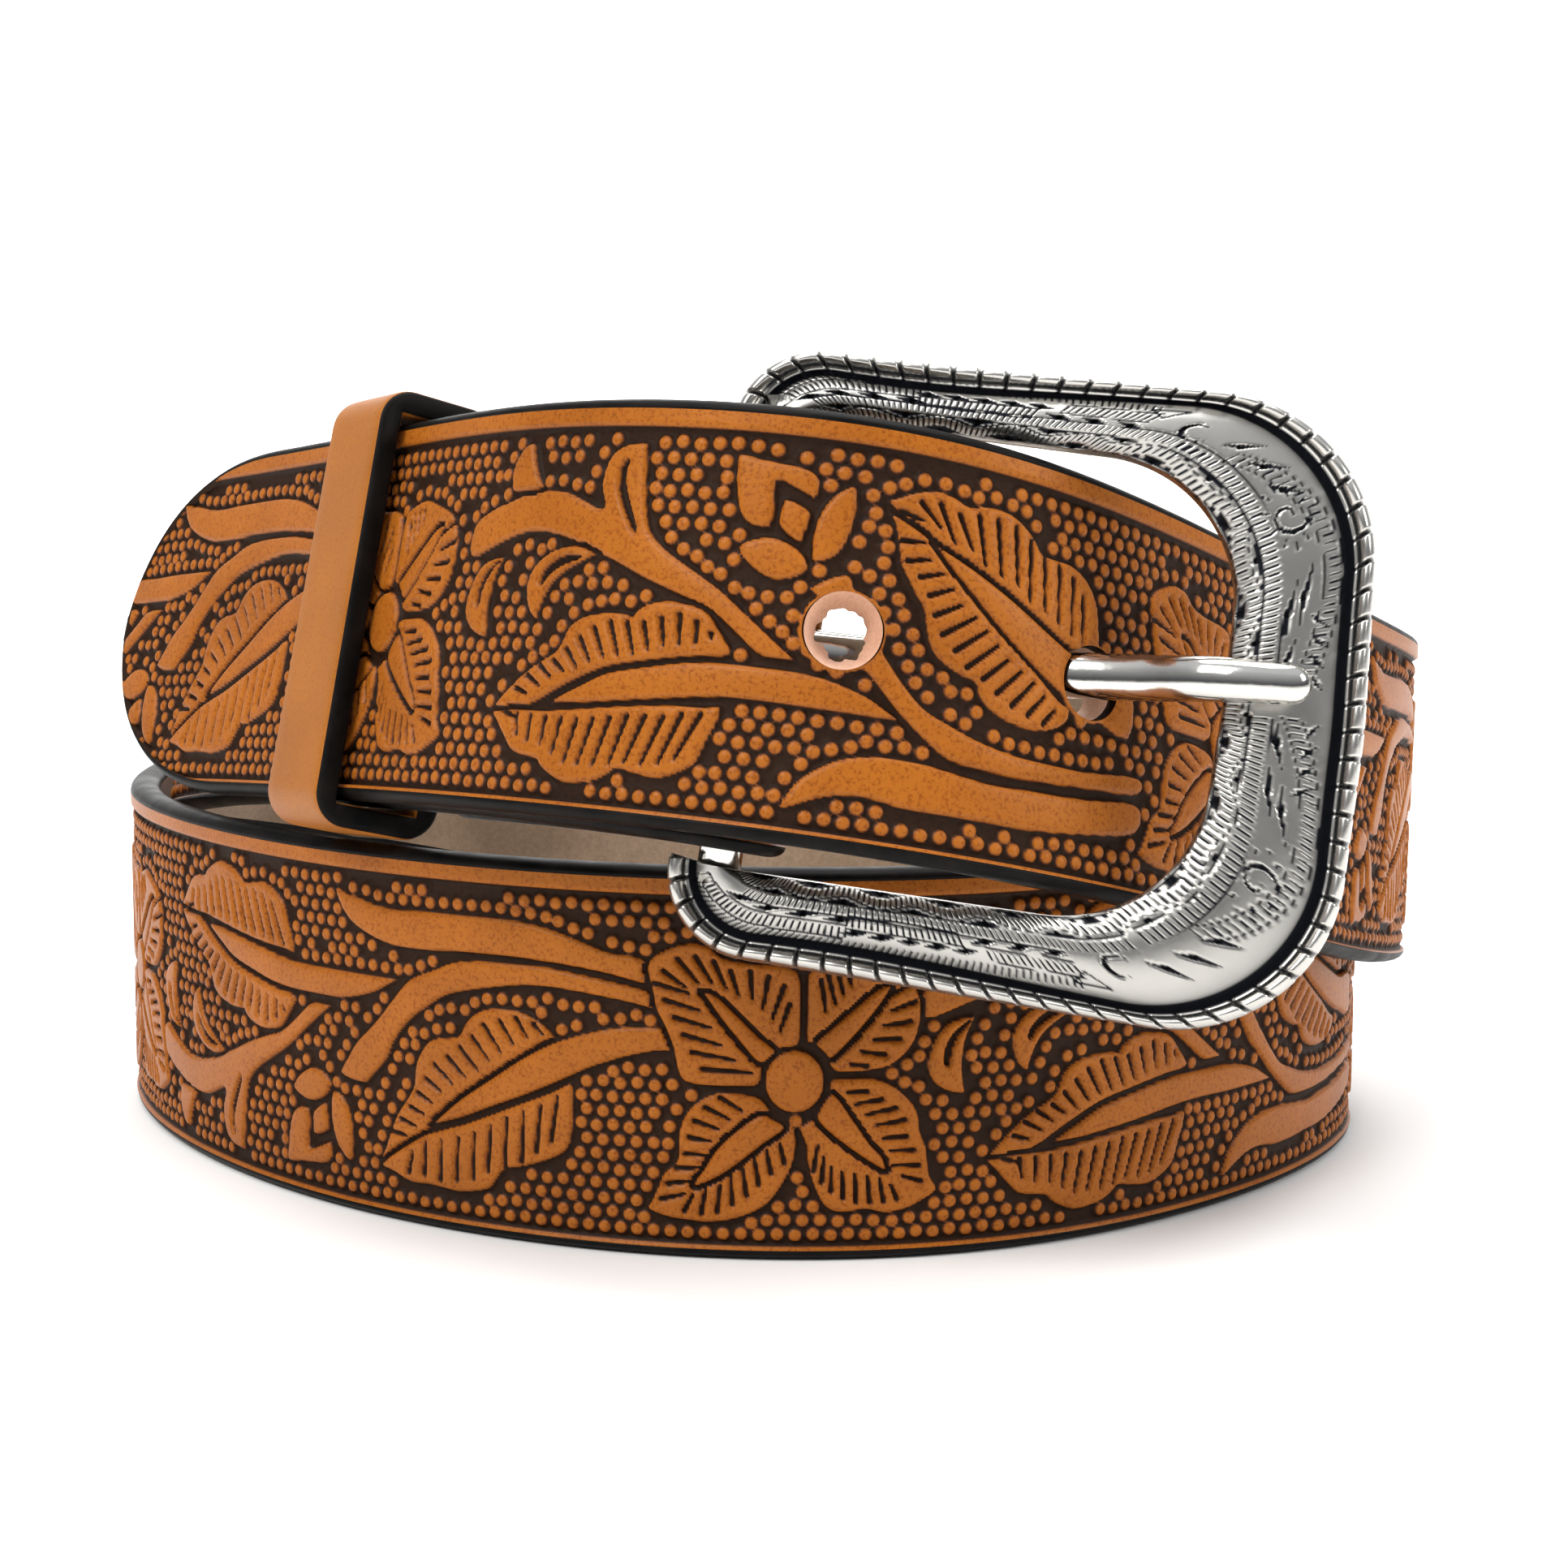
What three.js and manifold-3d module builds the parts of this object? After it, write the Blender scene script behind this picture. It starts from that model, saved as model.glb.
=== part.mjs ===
// Western tooled leather belt, fastened and wound in a double loop that stands on its edges.
// Millimetres, +Z up. The origin is on the surface below the middle of the belt.

import * as THREE from 'three'
import { mergeVertices } from 'three/addons/utils/BufferGeometryUtils.js'
import Module from 'manifold-3d'

const wasm = await Module()
wasm.setup()

// Leather strap
const strapWidth = 38
const strapThickness = 3.5
const edgeChamfer = 1.1
const stationStep = 7
const layerGap = 0.5

// The loop it is wound in, measured over its outer strand
const loopWidth = 150
const loopDepth = 150

// Tip end
const tipReach = 102
const tipLength = 27
const tipSpring = 6
const tipBluntness = 2.4
const tipEndShare = 0.12

// Holes, wider at the face than at the back
const holePitch = 24
const holeCount = 5
const holesPastProng = 1
const holeFaceDiameter = 6.8
const holeBackDiameter = 4.4
const holeSides = 16

// Fold round the heel bar
const heelAt = 9
const barDiameter = 4
const barClearance = 0.55
const barReach = 1.5
const flapLength = 38
const flapCloses = 22
const foldSteps = 9
const buckleDrop = 1
const buckleTurnRun = 60
const buckleSettles = 0.8
const slotHalfWidth = 4
const slotReach = 12
const slotInset = 0.2

// Buckle frame, u along the strap from the heel bar, w across it, n out of its face
const frameYaw = 11
const frameTurn = 1
const frameLeft = 4.6
const frameRight = 54
const frameRightSkew = 1.1
const frameRightBulge = 1
const frameBulgeRadius = 70
const frameHalfLeft = 27.6
const frameHalfRight = 28.6
const frameCornerLeft = 8
const frameCornerRight = 15
const openingHigh = 21.5
const openingLow = 19.8
const openingRight = 42
const openingBulge = 0.4
const openingCorner = 13
const openingCurveLeft = 7
const armEndTaper = 0.7
const frameBack = 2
const rimWidth = 1.7
const rimHeight = 2.2
const rimSegments = 80
const notchDepth = 0.55
const channelWidth = 0.9
const channelHeight = 0.9
const faceCrown = 2.4
const innerEdgeHeight = 1.1
const innerEdgeRound = 0.7
const rimFootHeight = 0.4
const rimShoulder = 0.45
const rimShoulderDrop = 0.35
const rimFall = 0.15
const rimRingsPerSegment = 3
const frameBackInset = 0.3

// Shares of the rim's width, the face's width and the inner edge's round
const rimCrestAt = 0.7
const faceRise = { across: 0.2, height: 0.75 }
const faceCrownAt = 0.6
const innerEdgeShare = 0.3

// Prong
const prongWidth = 4.2
const prongThickness = 3.4
const prongEyeWall = 1.5
const prongEyeWidth = 5.2
const prongClearance = 0.45
const prongSteps = 18
const prongTipFrom = 0.94
const prongTipLeast = 0.05
const prongEyeBevel = 0.4
const prongPassage = { from: 0.3, to: 0.75 }
const prongCrossing = -2.75
const prongSides = 10
const prongTurn = 3.5

// Keeper loop
const keeperAt = 45.4
const keeperLength = 11.4
const keeperWall = 2.5
const keeperSideGap = 0.45
const keeperFaceGap = 0.6
const keeperCorner = 3.6

// Rivet that holds the fold
const rivetAt = 26
const rivetShank = 3.6
const rivetHead = 8
const rivetHeadHeight = 1.4
const rivetFlushHead = 6.4
const rivetFlushDepth = 0.9
const rivetClearance = 0.35
const rivetFaceInset = 0.05
const rivetDome = { shoulder: { across: 0.9, rise: 0.5 }, crown: { across: 0.55, rise: 0.9 } }
const rivetStandOff = 0.8

// Route of the strap's middle line, clockwise from above, starting at the heel of the buckle.
// side and depth are shares of half the loop, rise is a share of the strap's width,
// and lean is how far the upper edge tips outwards, in degrees.
const route = [
  { side: 0.08, depth: -1.02, rise: 1.64, lean: -10 },
  { side: -0.26, depth: -0.87, rise: 1.67, lean: -12 },
  { side: -0.51, depth: -0.53, rise: 1.61, lean: -14 },
  { side: -0.78, depth: -0.14, rise: 1.53, lean: -15 },
  { side: -1.00, depth: 0.24, rise: 1.38, lean: -14 },
  { side: -0.90, depth: 0.62, rise: 1.26, lean: -9 },
  { side: -0.60, depth: 0.85, rise: 1.10, lean: -3 },
  { side: -0.16, depth: 0.93, rise: 0.92, lean: 0 },
  { side: 0.31, depth: 0.87, rise: 0.75, lean: 1 },
  { side: 0.69, depth: 0.64, rise: 0.57, lean: 1 },
  { side: 0.92, depth: 0.29, rise: 0.50, lean: 0 },
  { side: 0.90, depth: -0.10, rise: 0.50, lean: 0 },
  { side: 0.65, depth: -0.46, rise: 0.50, lean: 0 },
  { side: 0.30, depth: -0.72, rise: 0.50, lean: 0 },
  { side: -0.12, depth: -0.75, rise: 0.50, lean: 0 },
  { side: -0.56, depth: -0.54, rise: 0.50, lean: 0 },
  { side: -0.89, depth: -0.15, rise: 0.50, lean: 0 },
  { side: -1.05, depth: 0.28, rise: 0.50, lean: 0 },
  { side: -0.97, depth: 0.68, rise: 0.54, lean: 0 },
  { side: -0.58, depth: 0.99, rise: 0.67, lean: 0 },
  { side: -0.01, depth: 1.09, rise: 0.83, lean: 1 },
  { side: 0.55, depth: 0.98, rise: 0.92, lean: 3 },
  { side: 0.95, depth: 0.67, rise: 0.92, lean: 4 },
  { side: 1.06, depth: 0.26, rise: 0.94, lean: 3 },
  { side: 0.90, depth: -0.18, rise: 1.06, lean: -3 },
  { side: 0.65, depth: -0.59, rise: 1.28, lean: -8 },
  { side: 0.38, depth: -0.91, rise: 1.50, lean: -10 }
]
const samplesPerRow = 16

// The inner turn under the tip end eases out to the single strap between these rows
const innerTurnEases = { from: 7, to: 10 }

// Prong's middle line in the buckle's plane: u as a share of the frame's length,
// n as a share of the prong's thickness
const prongLine = [
  { u: 0.05, n: 0.95 },
  { u: 0.14, n: 0.52 },
  { u: 0.28, n: -0.05 },
  { u: 0.42, n: -0.42 },
  { u: 0.54, n: -0.46 },
  { u: 0.66, n: 0.35 },
  { u: 0.76, n: 1.36 },
  { u: 0.84, n: 1.58 },
  { u: 0.92, n: 1.40 }
]

const up = new THREE.Vector3(0, 0, 1)
const pairPitch = strapThickness + layerGap
const foldRadius = barDiameter / 2 + barClearance + strapThickness / 2

function smoothStep(from, to, value) {
  const t = THREE.MathUtils.clamp((value - from) / (to - from), 0, 1)
  return t * t * (3 - 2 * t)
}

// Point of the closed route at a row number that may be fractional
function routePoint(row) {
  const first = Math.floor(row)
  const t = row - first
  const weights = [
    (1 - t) ** 3 / 6,
    (3 * t ** 3 - 6 * t ** 2 + 4) / 6,
    (-3 * t ** 3 + 3 * t ** 2 + 3 * t + 1) / 6,
    t ** 3 / 6
  ]
  const point = new THREE.Vector3()
  let lean = 0
  weights.forEach((weight, k) => {
    const entry = route[(first + k - 1 + route.length) % route.length]
    point.x += weight * entry.side * loopWidth / 2
    point.y += weight * entry.depth * loopDepth / 2
    point.z += weight * entry.rise * strapWidth
    lean += weight * entry.lean
  })
  return { point, lean }
}

// Strap frame from a point, its direction and its lean: across is the width, out is the face
function strapFrame(point, along, lean) {
  const across = up.clone().addScaledVector(along, -up.dot(along)).normalize()
  const out = new THREE.Vector3().crossVectors(across, along)
  const turn = THREE.MathUtils.degToRad(lean)
  return {
    point,
    along,
    across: across.clone().multiplyScalar(Math.cos(turn)).addScaledVector(out, Math.sin(turn)),
    out: out.clone().multiplyScalar(Math.cos(turn)).addScaledVector(across, -Math.sin(turn))
  }
}

const routeSamples = []
for (let i = 0; i <= route.length * samplesPerRow; i++) {
  const row = i / samplesPerRow
  const here = routePoint(row)
  const ahead = routePoint(row + 0.01).point
  const behind = routePoint(row - 0.01 + route.length).point
  const along = ahead.sub(behind).normalize()
  const last = routeSamples[i - 1]
  const run = last ? last.run + here.point.distanceTo(last.frame.point) : 0
  routeSamples.push({ run, row, frame: strapFrame(here.point, along, here.lean) })
}
const turnLength = routeSamples[routeSamples.length - 1].run

// Frame on the outer layer at a length along the route, which may run past one closed turn
function routeAt(length) {
  const run = ((length % turnLength) + turnLength) % turnLength
  let i = 1
  while (routeSamples[i].run < run && i < routeSamples.length - 1) i++
  const a = routeSamples[i - 1]
  const b = routeSamples[i]
  const t = (run - a.run) / (b.run - a.run)
  const blend = (name) => a.frame[name].clone().lerp(b.frame[name], t)
  return {
    row: a.row + (b.row - a.row) * t,
    point: blend('point'),
    along: blend('along').normalize(),
    across: blend('across').normalize(),
    out: blend('out').normalize()
  }
}

// A frame moved along its own out and across directions
function shifted(frame, outwards, upwards = 0) {
  const point = frame.point.clone().addScaledVector(frame.out, outwards).addScaledVector(frame.across, upwards)
  return { ...frame, point }
}

// Tip end at a length from the heel bar: past the keeper it springs a little away
function tipEndAt(length) {
  const free = Math.max(0, length - keeperAt - keeperLength)
  const spring = tipSpring * (free / (tipReach - keeperAt - keeperLength)) ** 2
  return shifted(routeAt(heelAt + length), spring)
}

// Buckle end of the strap at a length from the heel bar: inside the tip end, and turned down at the buckle
function buckleEndAt(length) {
  const frame = routeAt(heelAt + length)
  const inwards = pairPitch * (1 - smoothStep(innerTurnEases.from, innerTurnEases.to, frame.row))
  const left = Math.max(0, 1 - length / buckleTurnRun)
  const turn = Math.atan(2 * buckleDrop / buckleTurnRun * left)
  const lowered = shifted(frame, -inwards, -buckleDrop * left ** 2)
  return {
    point: lowered.point,
    along: frame.along.clone().multiplyScalar(Math.cos(turn)).addScaledVector(frame.across, Math.sin(turn)),
    across: frame.across.clone().multiplyScalar(Math.cos(turn)).addScaledVector(frame.along, -Math.sin(turn)),
    out: frame.out
  }
}

// Folded flap behind the buckle end, its finished face turned inwards
function flapAt(length) {
  const front = buckleEndAt(length)
  const apart = pairPitch + (2 * foldRadius - pairPitch) * (1 - smoothStep(0, flapCloses, length))
  const back = shifted(front, -apart)
  return { ...back, along: front.along.clone().negate(), out: front.out.clone().negate() }
}

const heel = buckleEndAt(0)
const foldCentre = shifted(heel, -foldRadius).point
const barCentre = shifted(heel, -foldRadius, -buckleSettles).point

function foldAt(angle) {
  const out = heel.out.clone().multiplyScalar(Math.cos(angle)).addScaledVector(heel.along, -Math.sin(angle))
  return {
    point: foldCentre.clone().addScaledVector(out, foldRadius),
    along: new THREE.Vector3().crossVectors(out, heel.across),
    across: heel.across,
    out
  }
}

function tidyGeometry(geometry) {
  geometry.deleteAttribute('normal')
  geometry.deleteAttribute('uv')
  return mergeVertices(geometry, 1e-5)
}

function toSolid(geometry) {
  const clean = tidyGeometry(geometry)
  const vertProperties = new Float32Array(clean.attributes.position.array)
  const triVerts = new Uint32Array(clean.index.array)
  return new wasm.Manifold(new wasm.Mesh({ numProp: 3, vertProperties, triVerts }))
}

function toGeometry(solid) {
  const mesh = solid.getMesh()
  const geometry = new THREE.BufferGeometry()
  geometry.setAttribute('position', new THREE.BufferAttribute(new Float32Array(mesh.vertProperties), 3))
  geometry.setIndex(new THREE.BufferAttribute(new Uint32Array(mesh.triVerts), 1))
  return geometry
}

// Closed body through sections: each is a ring of points, clockwise when looking along the run
function bodyThrough(rings) {
  const count = rings[0].length
  const positions = rings.flat().flatMap((point) => [point.x, point.y, point.z])
  const index = []
  for (let i = 0; i + 1 < rings.length; i++) {
    for (let k = 0; k < count; k++) {
      const a = i * count + k
      const b = i * count + (k + 1) % count
      index.push(a, b + count, b, a, a + count, b + count)
    }
  }
  for (const [ring, flip] of [[0, false], [rings.length - 1, true]]) {
    const middle = new THREE.Vector3()
    rings[ring].forEach((point) => middle.addScaledVector(point, 1 / count))
    const centre = positions.length / 3
    positions.push(middle.x, middle.y, middle.z)
    for (let k = 0; k < count; k++) {
      const a = ring * count + k
      const b = ring * count + (k + 1) % count
      index.push(centre, flip ? b : a, flip ? a : b)
    }
  }
  const geometry = new THREE.BufferGeometry()
  geometry.setAttribute('position', new THREE.Float32BufferAttribute(positions, 3))
  geometry.setIndex(index)
  return geometry
}

// Ring of a section laid in a frame: its first number runs across, its second outwards
function ringIn(frame, section) {
  return section.map(([a, b]) =>
    frame.point.clone().addScaledVector(frame.across, a).addScaledVector(frame.out, b))
}

function strapSection(half) {
  const thick = strapThickness / 2
  const cut = Math.min(edgeChamfer, half / 2)
  return [
    [half - cut, thick], [-half + cut, thick], [-half, thick - cut], [-half, -thick + cut],
    [-half + cut, -thick], [half - cut, -thick], [half, -thick + cut], [half, thick - cut]
  ]
}

function roundedSection(halfAcross, halfOut, radius, steps) {
  const points = []
  const corners = [[1, 1, 0], [-1, 1, 1], [-1, -1, 2], [1, -1, 3]]
  for (const [sideAcross, sideOut, quarter] of corners) {
    for (let k = 0; k <= steps; k++) {
      const angle = (quarter + k / steps) * Math.PI / 2
      points.push([
        sideAcross * (halfAcross - radius) + radius * Math.cos(angle),
        sideOut * (halfOut - radius) + radius * Math.sin(angle)
      ])
    }
  }
  return points
}

// Buckle's own frame at the heel bar
const yaw = THREE.MathUtils.degToRad(frameYaw)
const buckleAcross = heel.across.clone()
const buckleAlong = heel.along.clone().negate().applyAxisAngle(buckleAcross, yaw)
const buckleOut = new THREE.Vector3().crossVectors(buckleAlong, buckleAcross).normalize()
const bucklePlace = new THREE.Matrix4().makeBasis(buckleAlong, buckleAcross, buckleOut).setPosition(barCentre)
  .multiply(new THREE.Matrix4().makeRotationZ(THREE.MathUtils.degToRad(frameTurn)))
const buckleInverse = bucklePlace.clone().invert()
const prongPlace = bucklePlace.clone().multiply(new THREE.Matrix4().makeRotationZ(THREE.MathUtils.degToRad(prongTurn)))

// Length along the route where the tip end meets the prong's line
function findProngHole() {
  let best = { miss: Infinity, length: 0 }
  for (let back = 0; back < frameRight; back += 0.1) {
    const length = turnLength + heelAt - back
    const local = routeAt(length).point.applyMatrix4(buckleInverse)
    const miss = Math.abs(local.z - prongCrossing)
    if (local.x > frameRight / 4 && miss < best.miss) best = { miss, length }
  }
  return best.length
}
const prongHoleAt = findProngHole()

// Closed cutter through a layer, from its face to its back
function holeCutter(frame, faceRadius, backRadius, faceOver, backOver) {
  const rings = []
  for (const [offset, radius] of [[-strapThickness / 2 - backOver, backRadius], [strapThickness / 2 + faceOver, faceRadius]]) {
    const ring = []
    for (let k = 0; k < holeSides; k++) {
      const angle = 2 * Math.PI * k / holeSides
      ring.push(frame.point.clone()
        .addScaledVector(frame.out, offset)
        .addScaledVector(frame.along, radius * Math.cos(angle))
        .addScaledVector(frame.across, radius * Math.sin(angle)))
    }
    rings.push(ring)
  }
  return toSolid(bodyThrough(rings))
}

function roundedTip(t) {
  const gone = Math.max(0, (t - prongTipFrom) / (1 - prongTipFrom))
  return Math.sqrt(Math.max(prongTipLeast, 1 - gone ** 2))
}

// Prong's shank as a body through ovals, grown by a clearance where it cuts the leather
function prongShank(grow, from, to) {
  const line = new THREE.CatmullRomCurve3(prongLine.map((entry) =>
    new THREE.Vector3(entry.u * frameRight, 0, entry.n * prongThickness)))
  const rings = []
  for (let i = 0; i <= prongSteps; i++) {
    const t = from + (to - from) * i / prongSteps
    const point = line.getPoint(t)
    const along = line.getTangent(t)
    const out = new THREE.Vector3(-along.z, 0, along.x)
    const tipRound = to < 1 ? 1 : roundedTip(t)
    const halfAcross = (prongWidth / 2) * tipRound + grow
    const halfOut = (prongThickness / 2) * tipRound + grow
    const ring = []
    for (let k = 0; k < prongSides; k++) {
      const angle = 2 * Math.PI * (k + 0.5) / prongSides
      ring.push(point.clone()
        .addScaledVector(out, halfOut * Math.sin(angle))
        .add(new THREE.Vector3(0, halfAcross * Math.cos(angle), 0)))
    }
    rings.push(ring.reverse())
  }
  return toSolid(bodyThrough(rings).applyMatrix4(prongPlace))
}

function makeStrap() {
  const frames = []
  const flapSteps = Math.round(flapLength / stationStep)
  for (let i = flapSteps; i > 0; i--) frames.push(flapAt(flapLength * i / flapSteps))
  for (let i = 0; i <= foldSteps; i++) frames.push(foldAt(Math.PI * (1 - i / foldSteps)))
  const endLength = turnLength + tipReach
  const steps = Math.round(endLength / stationStep)
  for (let i = 1; i <= steps; i++) {
    const length = endLength * i / steps
    const overlapped = length > turnLength - frameRight
    frames.push({ ...(overlapped ? tipEndAt(length - turnLength) : buckleEndAt(length)), left: endLength - length })
  }
  // The last stretch narrows to a blunt point, with closer stations
  while (frames[frames.length - 1].left < tipLength) frames.pop()
  const tipSteps = 10
  for (let i = 1; i <= tipSteps; i++) {
    const left = tipLength * (1 - i / tipSteps)
    frames.push({ ...tipEndAt(tipReach - left), left })
  }
  const rings = frames.map((frame) => {
    const gone = frame.left === undefined ? 0 : Math.max(0, 1 - frame.left / tipLength)
    const share = Math.max(tipEndShare, (1 - gone ** tipBluntness) ** (1 / 2))
    return ringIn(frame, strapSection(strapWidth / 2 * share))
  })
  let solid = toSolid(bodyThrough(rings))
  for (let k = 0; k < holeCount; k++) {
    const frame = routeAt(prongHoleAt + (holesPastProng - k) * holePitch)
    solid = solid.subtract(holeCutter(frame, holeFaceDiameter / 2, holeBackDiameter / 2, 0.1, 0.1))
  }
  solid = solid.subtract(prongShank(prongClearance, prongPassage.from, prongPassage.to))
  return solid.subtract(makeFoldSlot()).subtract(makeRivetHole())
}

// Slot through the fold, which lets the prong's eye reach the heel bar
function makeFoldSlot() {
  const reachIn = strapThickness / 2 + layerGap / 2
  const section = (outer, inner) => [
    [slotHalfWidth, outer], [-slotHalfWidth, outer], [-slotHalfWidth, -inner], [slotHalfWidth, -inner]
  ]
  const rings = []
  const steps = 4
  const slotSection = section(reachIn, foldRadius - slotInset)
  for (let i = steps; i > 0; i--) rings.push(ringIn(flapAt(slotReach * i / steps), slotSection))
  for (let i = 0; i <= foldSteps; i++) {
    rings.push(ringIn(foldAt(Math.PI * (1 - i / foldSteps)), section(reachIn + layerGap, foldRadius - slotInset)))
  }
  rings[rings.length - 1] = ringIn(heel, slotSection)
  for (let i = 1; i <= steps; i++) rings.push(ringIn(buckleEndAt(slotReach * i / steps), slotSection))
  return toSolid(bodyThrough(rings))
}

function makeRivetHole() {
  const face = buckleEndAt(rivetAt)
  const shank = rivetShank / 2 + rivetClearance
  const flush = rivetFlushHead / 2 + rivetClearance
  const through = holeCutter(face, shank, shank, layerGap / 2, pairPitch + layerGap / 2)
  const seat = shifted(face, strapThickness - rivetFlushDepth - rivetClearance)
  return through.add(holeCutter(seat, flush, flush, layerGap / 2 - strapThickness + rivetFlushDepth + rivetClearance, 0))
}

// Rivet: flush head between the layers, shank through both, low dome on the inside
function makeRivet() {
  const face = buckleEndAt(rivetAt)
  const top = strapThickness / 2 - rivetFaceInset
  const back = -strapThickness / 2 - pairPitch - rivetStandOff
  const dome = rivetHead / 2
  const profile = [
    [0, top], [rivetFlushHead / 2, top], [rivetFlushHead / 2, top - rivetFlushDepth],
    [rivetShank / 2, top - rivetFlushDepth], [rivetShank / 2, back], [dome, back],
    [dome * rivetDome.shoulder.across, back - rivetHeadHeight * rivetDome.shoulder.rise],
    [dome * rivetDome.crown.across, back - rivetHeadHeight * rivetDome.crown.rise],
    [0, back - rivetHeadHeight]
  ]
  const geometry = new THREE.LatheGeometry(profile.map(([x, y]) => new THREE.Vector2(x, y)).reverse(), 20)
  const place = new THREE.Matrix4().makeBasis(face.across, face.out, face.along.clone().negate()).setPosition(face.point)
  return toSolid(geometry.applyMatrix4(place))
}

function makeKeeper() {
  const halfOut = strapThickness + layerGap / 2 + keeperFaceGap
  const halfAcross = strapWidth / 2 + keeperSideGap
  const outer = roundedSection(halfAcross + keeperWall, halfOut + keeperWall, keeperCorner, 4)
  const inner = roundedSection(halfAcross, halfOut, edgeChamfer, 2)
  const ringsFor = (section, over) => [0, 1, 2, 3, 4].map((k) => {
    const length = keeperAt - over + (keeperLength + 2 * over) * k / 4
    return ringIn(shifted(routeAt(heelAt + length), -pairPitch / 2), section)
  })
  return toSolid(bodyThrough(ringsFor(outer, 0))).subtract(toSolid(bodyThrough(ringsFor(inner, 1))))
}

// Open outline with rounded corners, as pieces that each give a point for a share of their length
function filletedPieces(corners) {
  const pieces = []
  let from = new THREE.Vector2(corners[0].u, corners[0].w)
  for (let i = 1; i < corners.length; i++) {
    const corner = new THREE.Vector2(corners[i].u, corners[i].w)
    if (!corners[i].radius) {
      pieces.push(new THREE.LineCurve(from, corner))
      from = corner
      continue
    }
    const next = new THREE.Vector2(corners[i + 1].u, corners[i + 1].w)
    const before = from.clone().sub(corner).normalize()
    const after = next.sub(corner).normalize()
    const half = Math.acos(THREE.MathUtils.clamp(before.dot(after), -1, 1)) / 2
    const reach = corners[i].radius / Math.tan(half)
    const start = corner.clone().addScaledVector(before, reach)
    const end = corner.clone().addScaledVector(after, reach)
    const middle = before.clone().add(after).normalize().multiplyScalar(corners[i].radius / Math.sin(half)).add(corner)
    const a0 = Math.atan2(start.y - middle.y, start.x - middle.x)
    const a1 = Math.atan2(end.y - middle.y, end.x - middle.x)
    pieces.push(new THREE.LineCurve(from, start))
    pieces.push(new THREE.EllipseCurve(middle.x, middle.y, corners[i].radius, corners[i].radius, a0, a1, false))
    from = end
  }
  return pieces
}

// Casting that makes three sides of the buckle, open at the heel, with a notched rim
function makeFrame() {
  const outerPieces = filletedPieces([
    { u: -frameLeft, w: -openingLow + armEndTaper },
    { u: -frameLeft, w: -frameHalfLeft, radius: frameCornerLeft },
    { u: frameRight + frameRightSkew, w: -frameHalfRight, radius: frameCornerRight },
    { u: frameRight + frameRightBulge, w: 0, radius: frameBulgeRadius },
    { u: frameRight - frameRightSkew, w: frameHalfRight, radius: frameCornerRight },
    { u: -frameLeft, w: frameHalfLeft, radius: frameCornerLeft },
    { u: -frameLeft, w: openingHigh - armEndTaper }
  ])
  const innerPieces = filletedPieces([
    { u: 0, w: -openingLow },
    { u: barDiameter / 2, w: -openingLow },
    { u: openingCurveLeft, w: -openingLow },
    { u: openingRight, w: -openingLow, radius: openingCorner },
    { u: openingRight + openingBulge, w: 0, radius: frameBulgeRadius },
    { u: openingRight, w: openingHigh, radius: openingCorner },
    { u: openingCurveLeft, w: openingHigh },
    { u: barDiameter / 2, w: openingHigh },
    { u: 0, w: openingHigh }
  ])
  const lengths = outerPieces.map((piece) => piece.getLength())
  const total = lengths.reduce((sum, length) => sum + length, 0)
  const rings = []
  const steps = rimSegments * rimRingsPerSegment
  for (let i = 0; i <= steps; i++) {
    let run = total * i / steps
    let k = 0
    while (k < lengths.length - 1 && run > lengths[k]) {
      run -= lengths[k]
      k++
    }
    const t = Math.min(1, run / lengths[k])
    const outer = outerPieces[k].getPoint(t)
    const inner = innerPieces[k].getPoint(t)
    const notch = i % rimRingsPerSegment === 0 ? notchDepth : 0
    const width = outer.distanceTo(inner)
    const inwards = inner.clone().sub(outer).normalize()
    const faceFrom = rimWidth + channelWidth
    const faceWidth = width - faceFrom
    const profile = [
      [notch, rimFootHeight],
      [rimShoulder + notch / 2, rimHeight - rimShoulderDrop - notch],
      [rimWidth * rimCrestAt, rimHeight - notch],
      [rimWidth + rimFall, channelHeight],
      [faceFrom, channelHeight],
      [faceFrom + faceWidth * faceRise.across, channelHeight + (faceCrown - channelHeight) * faceRise.height],
      [faceFrom + faceWidth * faceCrownAt, faceCrown],
      [width - innerEdgeRound * innerEdgeShare, innerEdgeHeight],
      [width, innerEdgeHeight - innerEdgeRound],
      [width - innerEdgeRound, -frameBack],
      [frameBackInset, -frameBack]
    ]
    rings.push(profile.map(([across, height]) => {
      const place = outer.clone().addScaledVector(inwards, across)
      return new THREE.Vector3(place.x, place.y, height)
    }))
  }
  const casting = toSolid(bodyThrough(rings))
  const barLength = openingHigh + openingLow + 2 * barReach
  const bar = new THREE.CylinderGeometry(barDiameter / 2, barDiameter / 2, barLength, 16)
  bar.translate(0, (openingHigh - openingLow) / 2, 0)
  return casting.add(toSolid(bar))
}

function makeProng() {
  const inner = barDiameter / 2 + barClearance
  const outer = inner + prongEyeWall
  const half = prongEyeWidth / 2
  const bevel = prongEyeBevel
  const profile = [
    [inner, -half + bevel], [inner + bevel, -half], [outer - bevel, -half], [outer, -half + bevel],
    [outer, half - bevel], [outer - bevel, half], [inner + bevel, half], [inner, half - bevel], [inner, -half + bevel]
  ]
  const eye = new THREE.LatheGeometry(profile.map(([x, y]) => new THREE.Vector2(x, y)), 24)
  return toSolid(eye.applyMatrix4(prongPlace)).add(prongShank(0, 0, 1))
}

function leather(colour) {
  return new THREE.MeshStandardMaterial({ color: colour, roughness: 0.5, metalness: 0 })
}

const castRoughness = 0.3
const polishedRoughness = 0.15

function nickel(roughness) {
  return new THREE.MeshStandardMaterial({ color: 0xc9c7c2, roughness, metalness: 1 })
}

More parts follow.
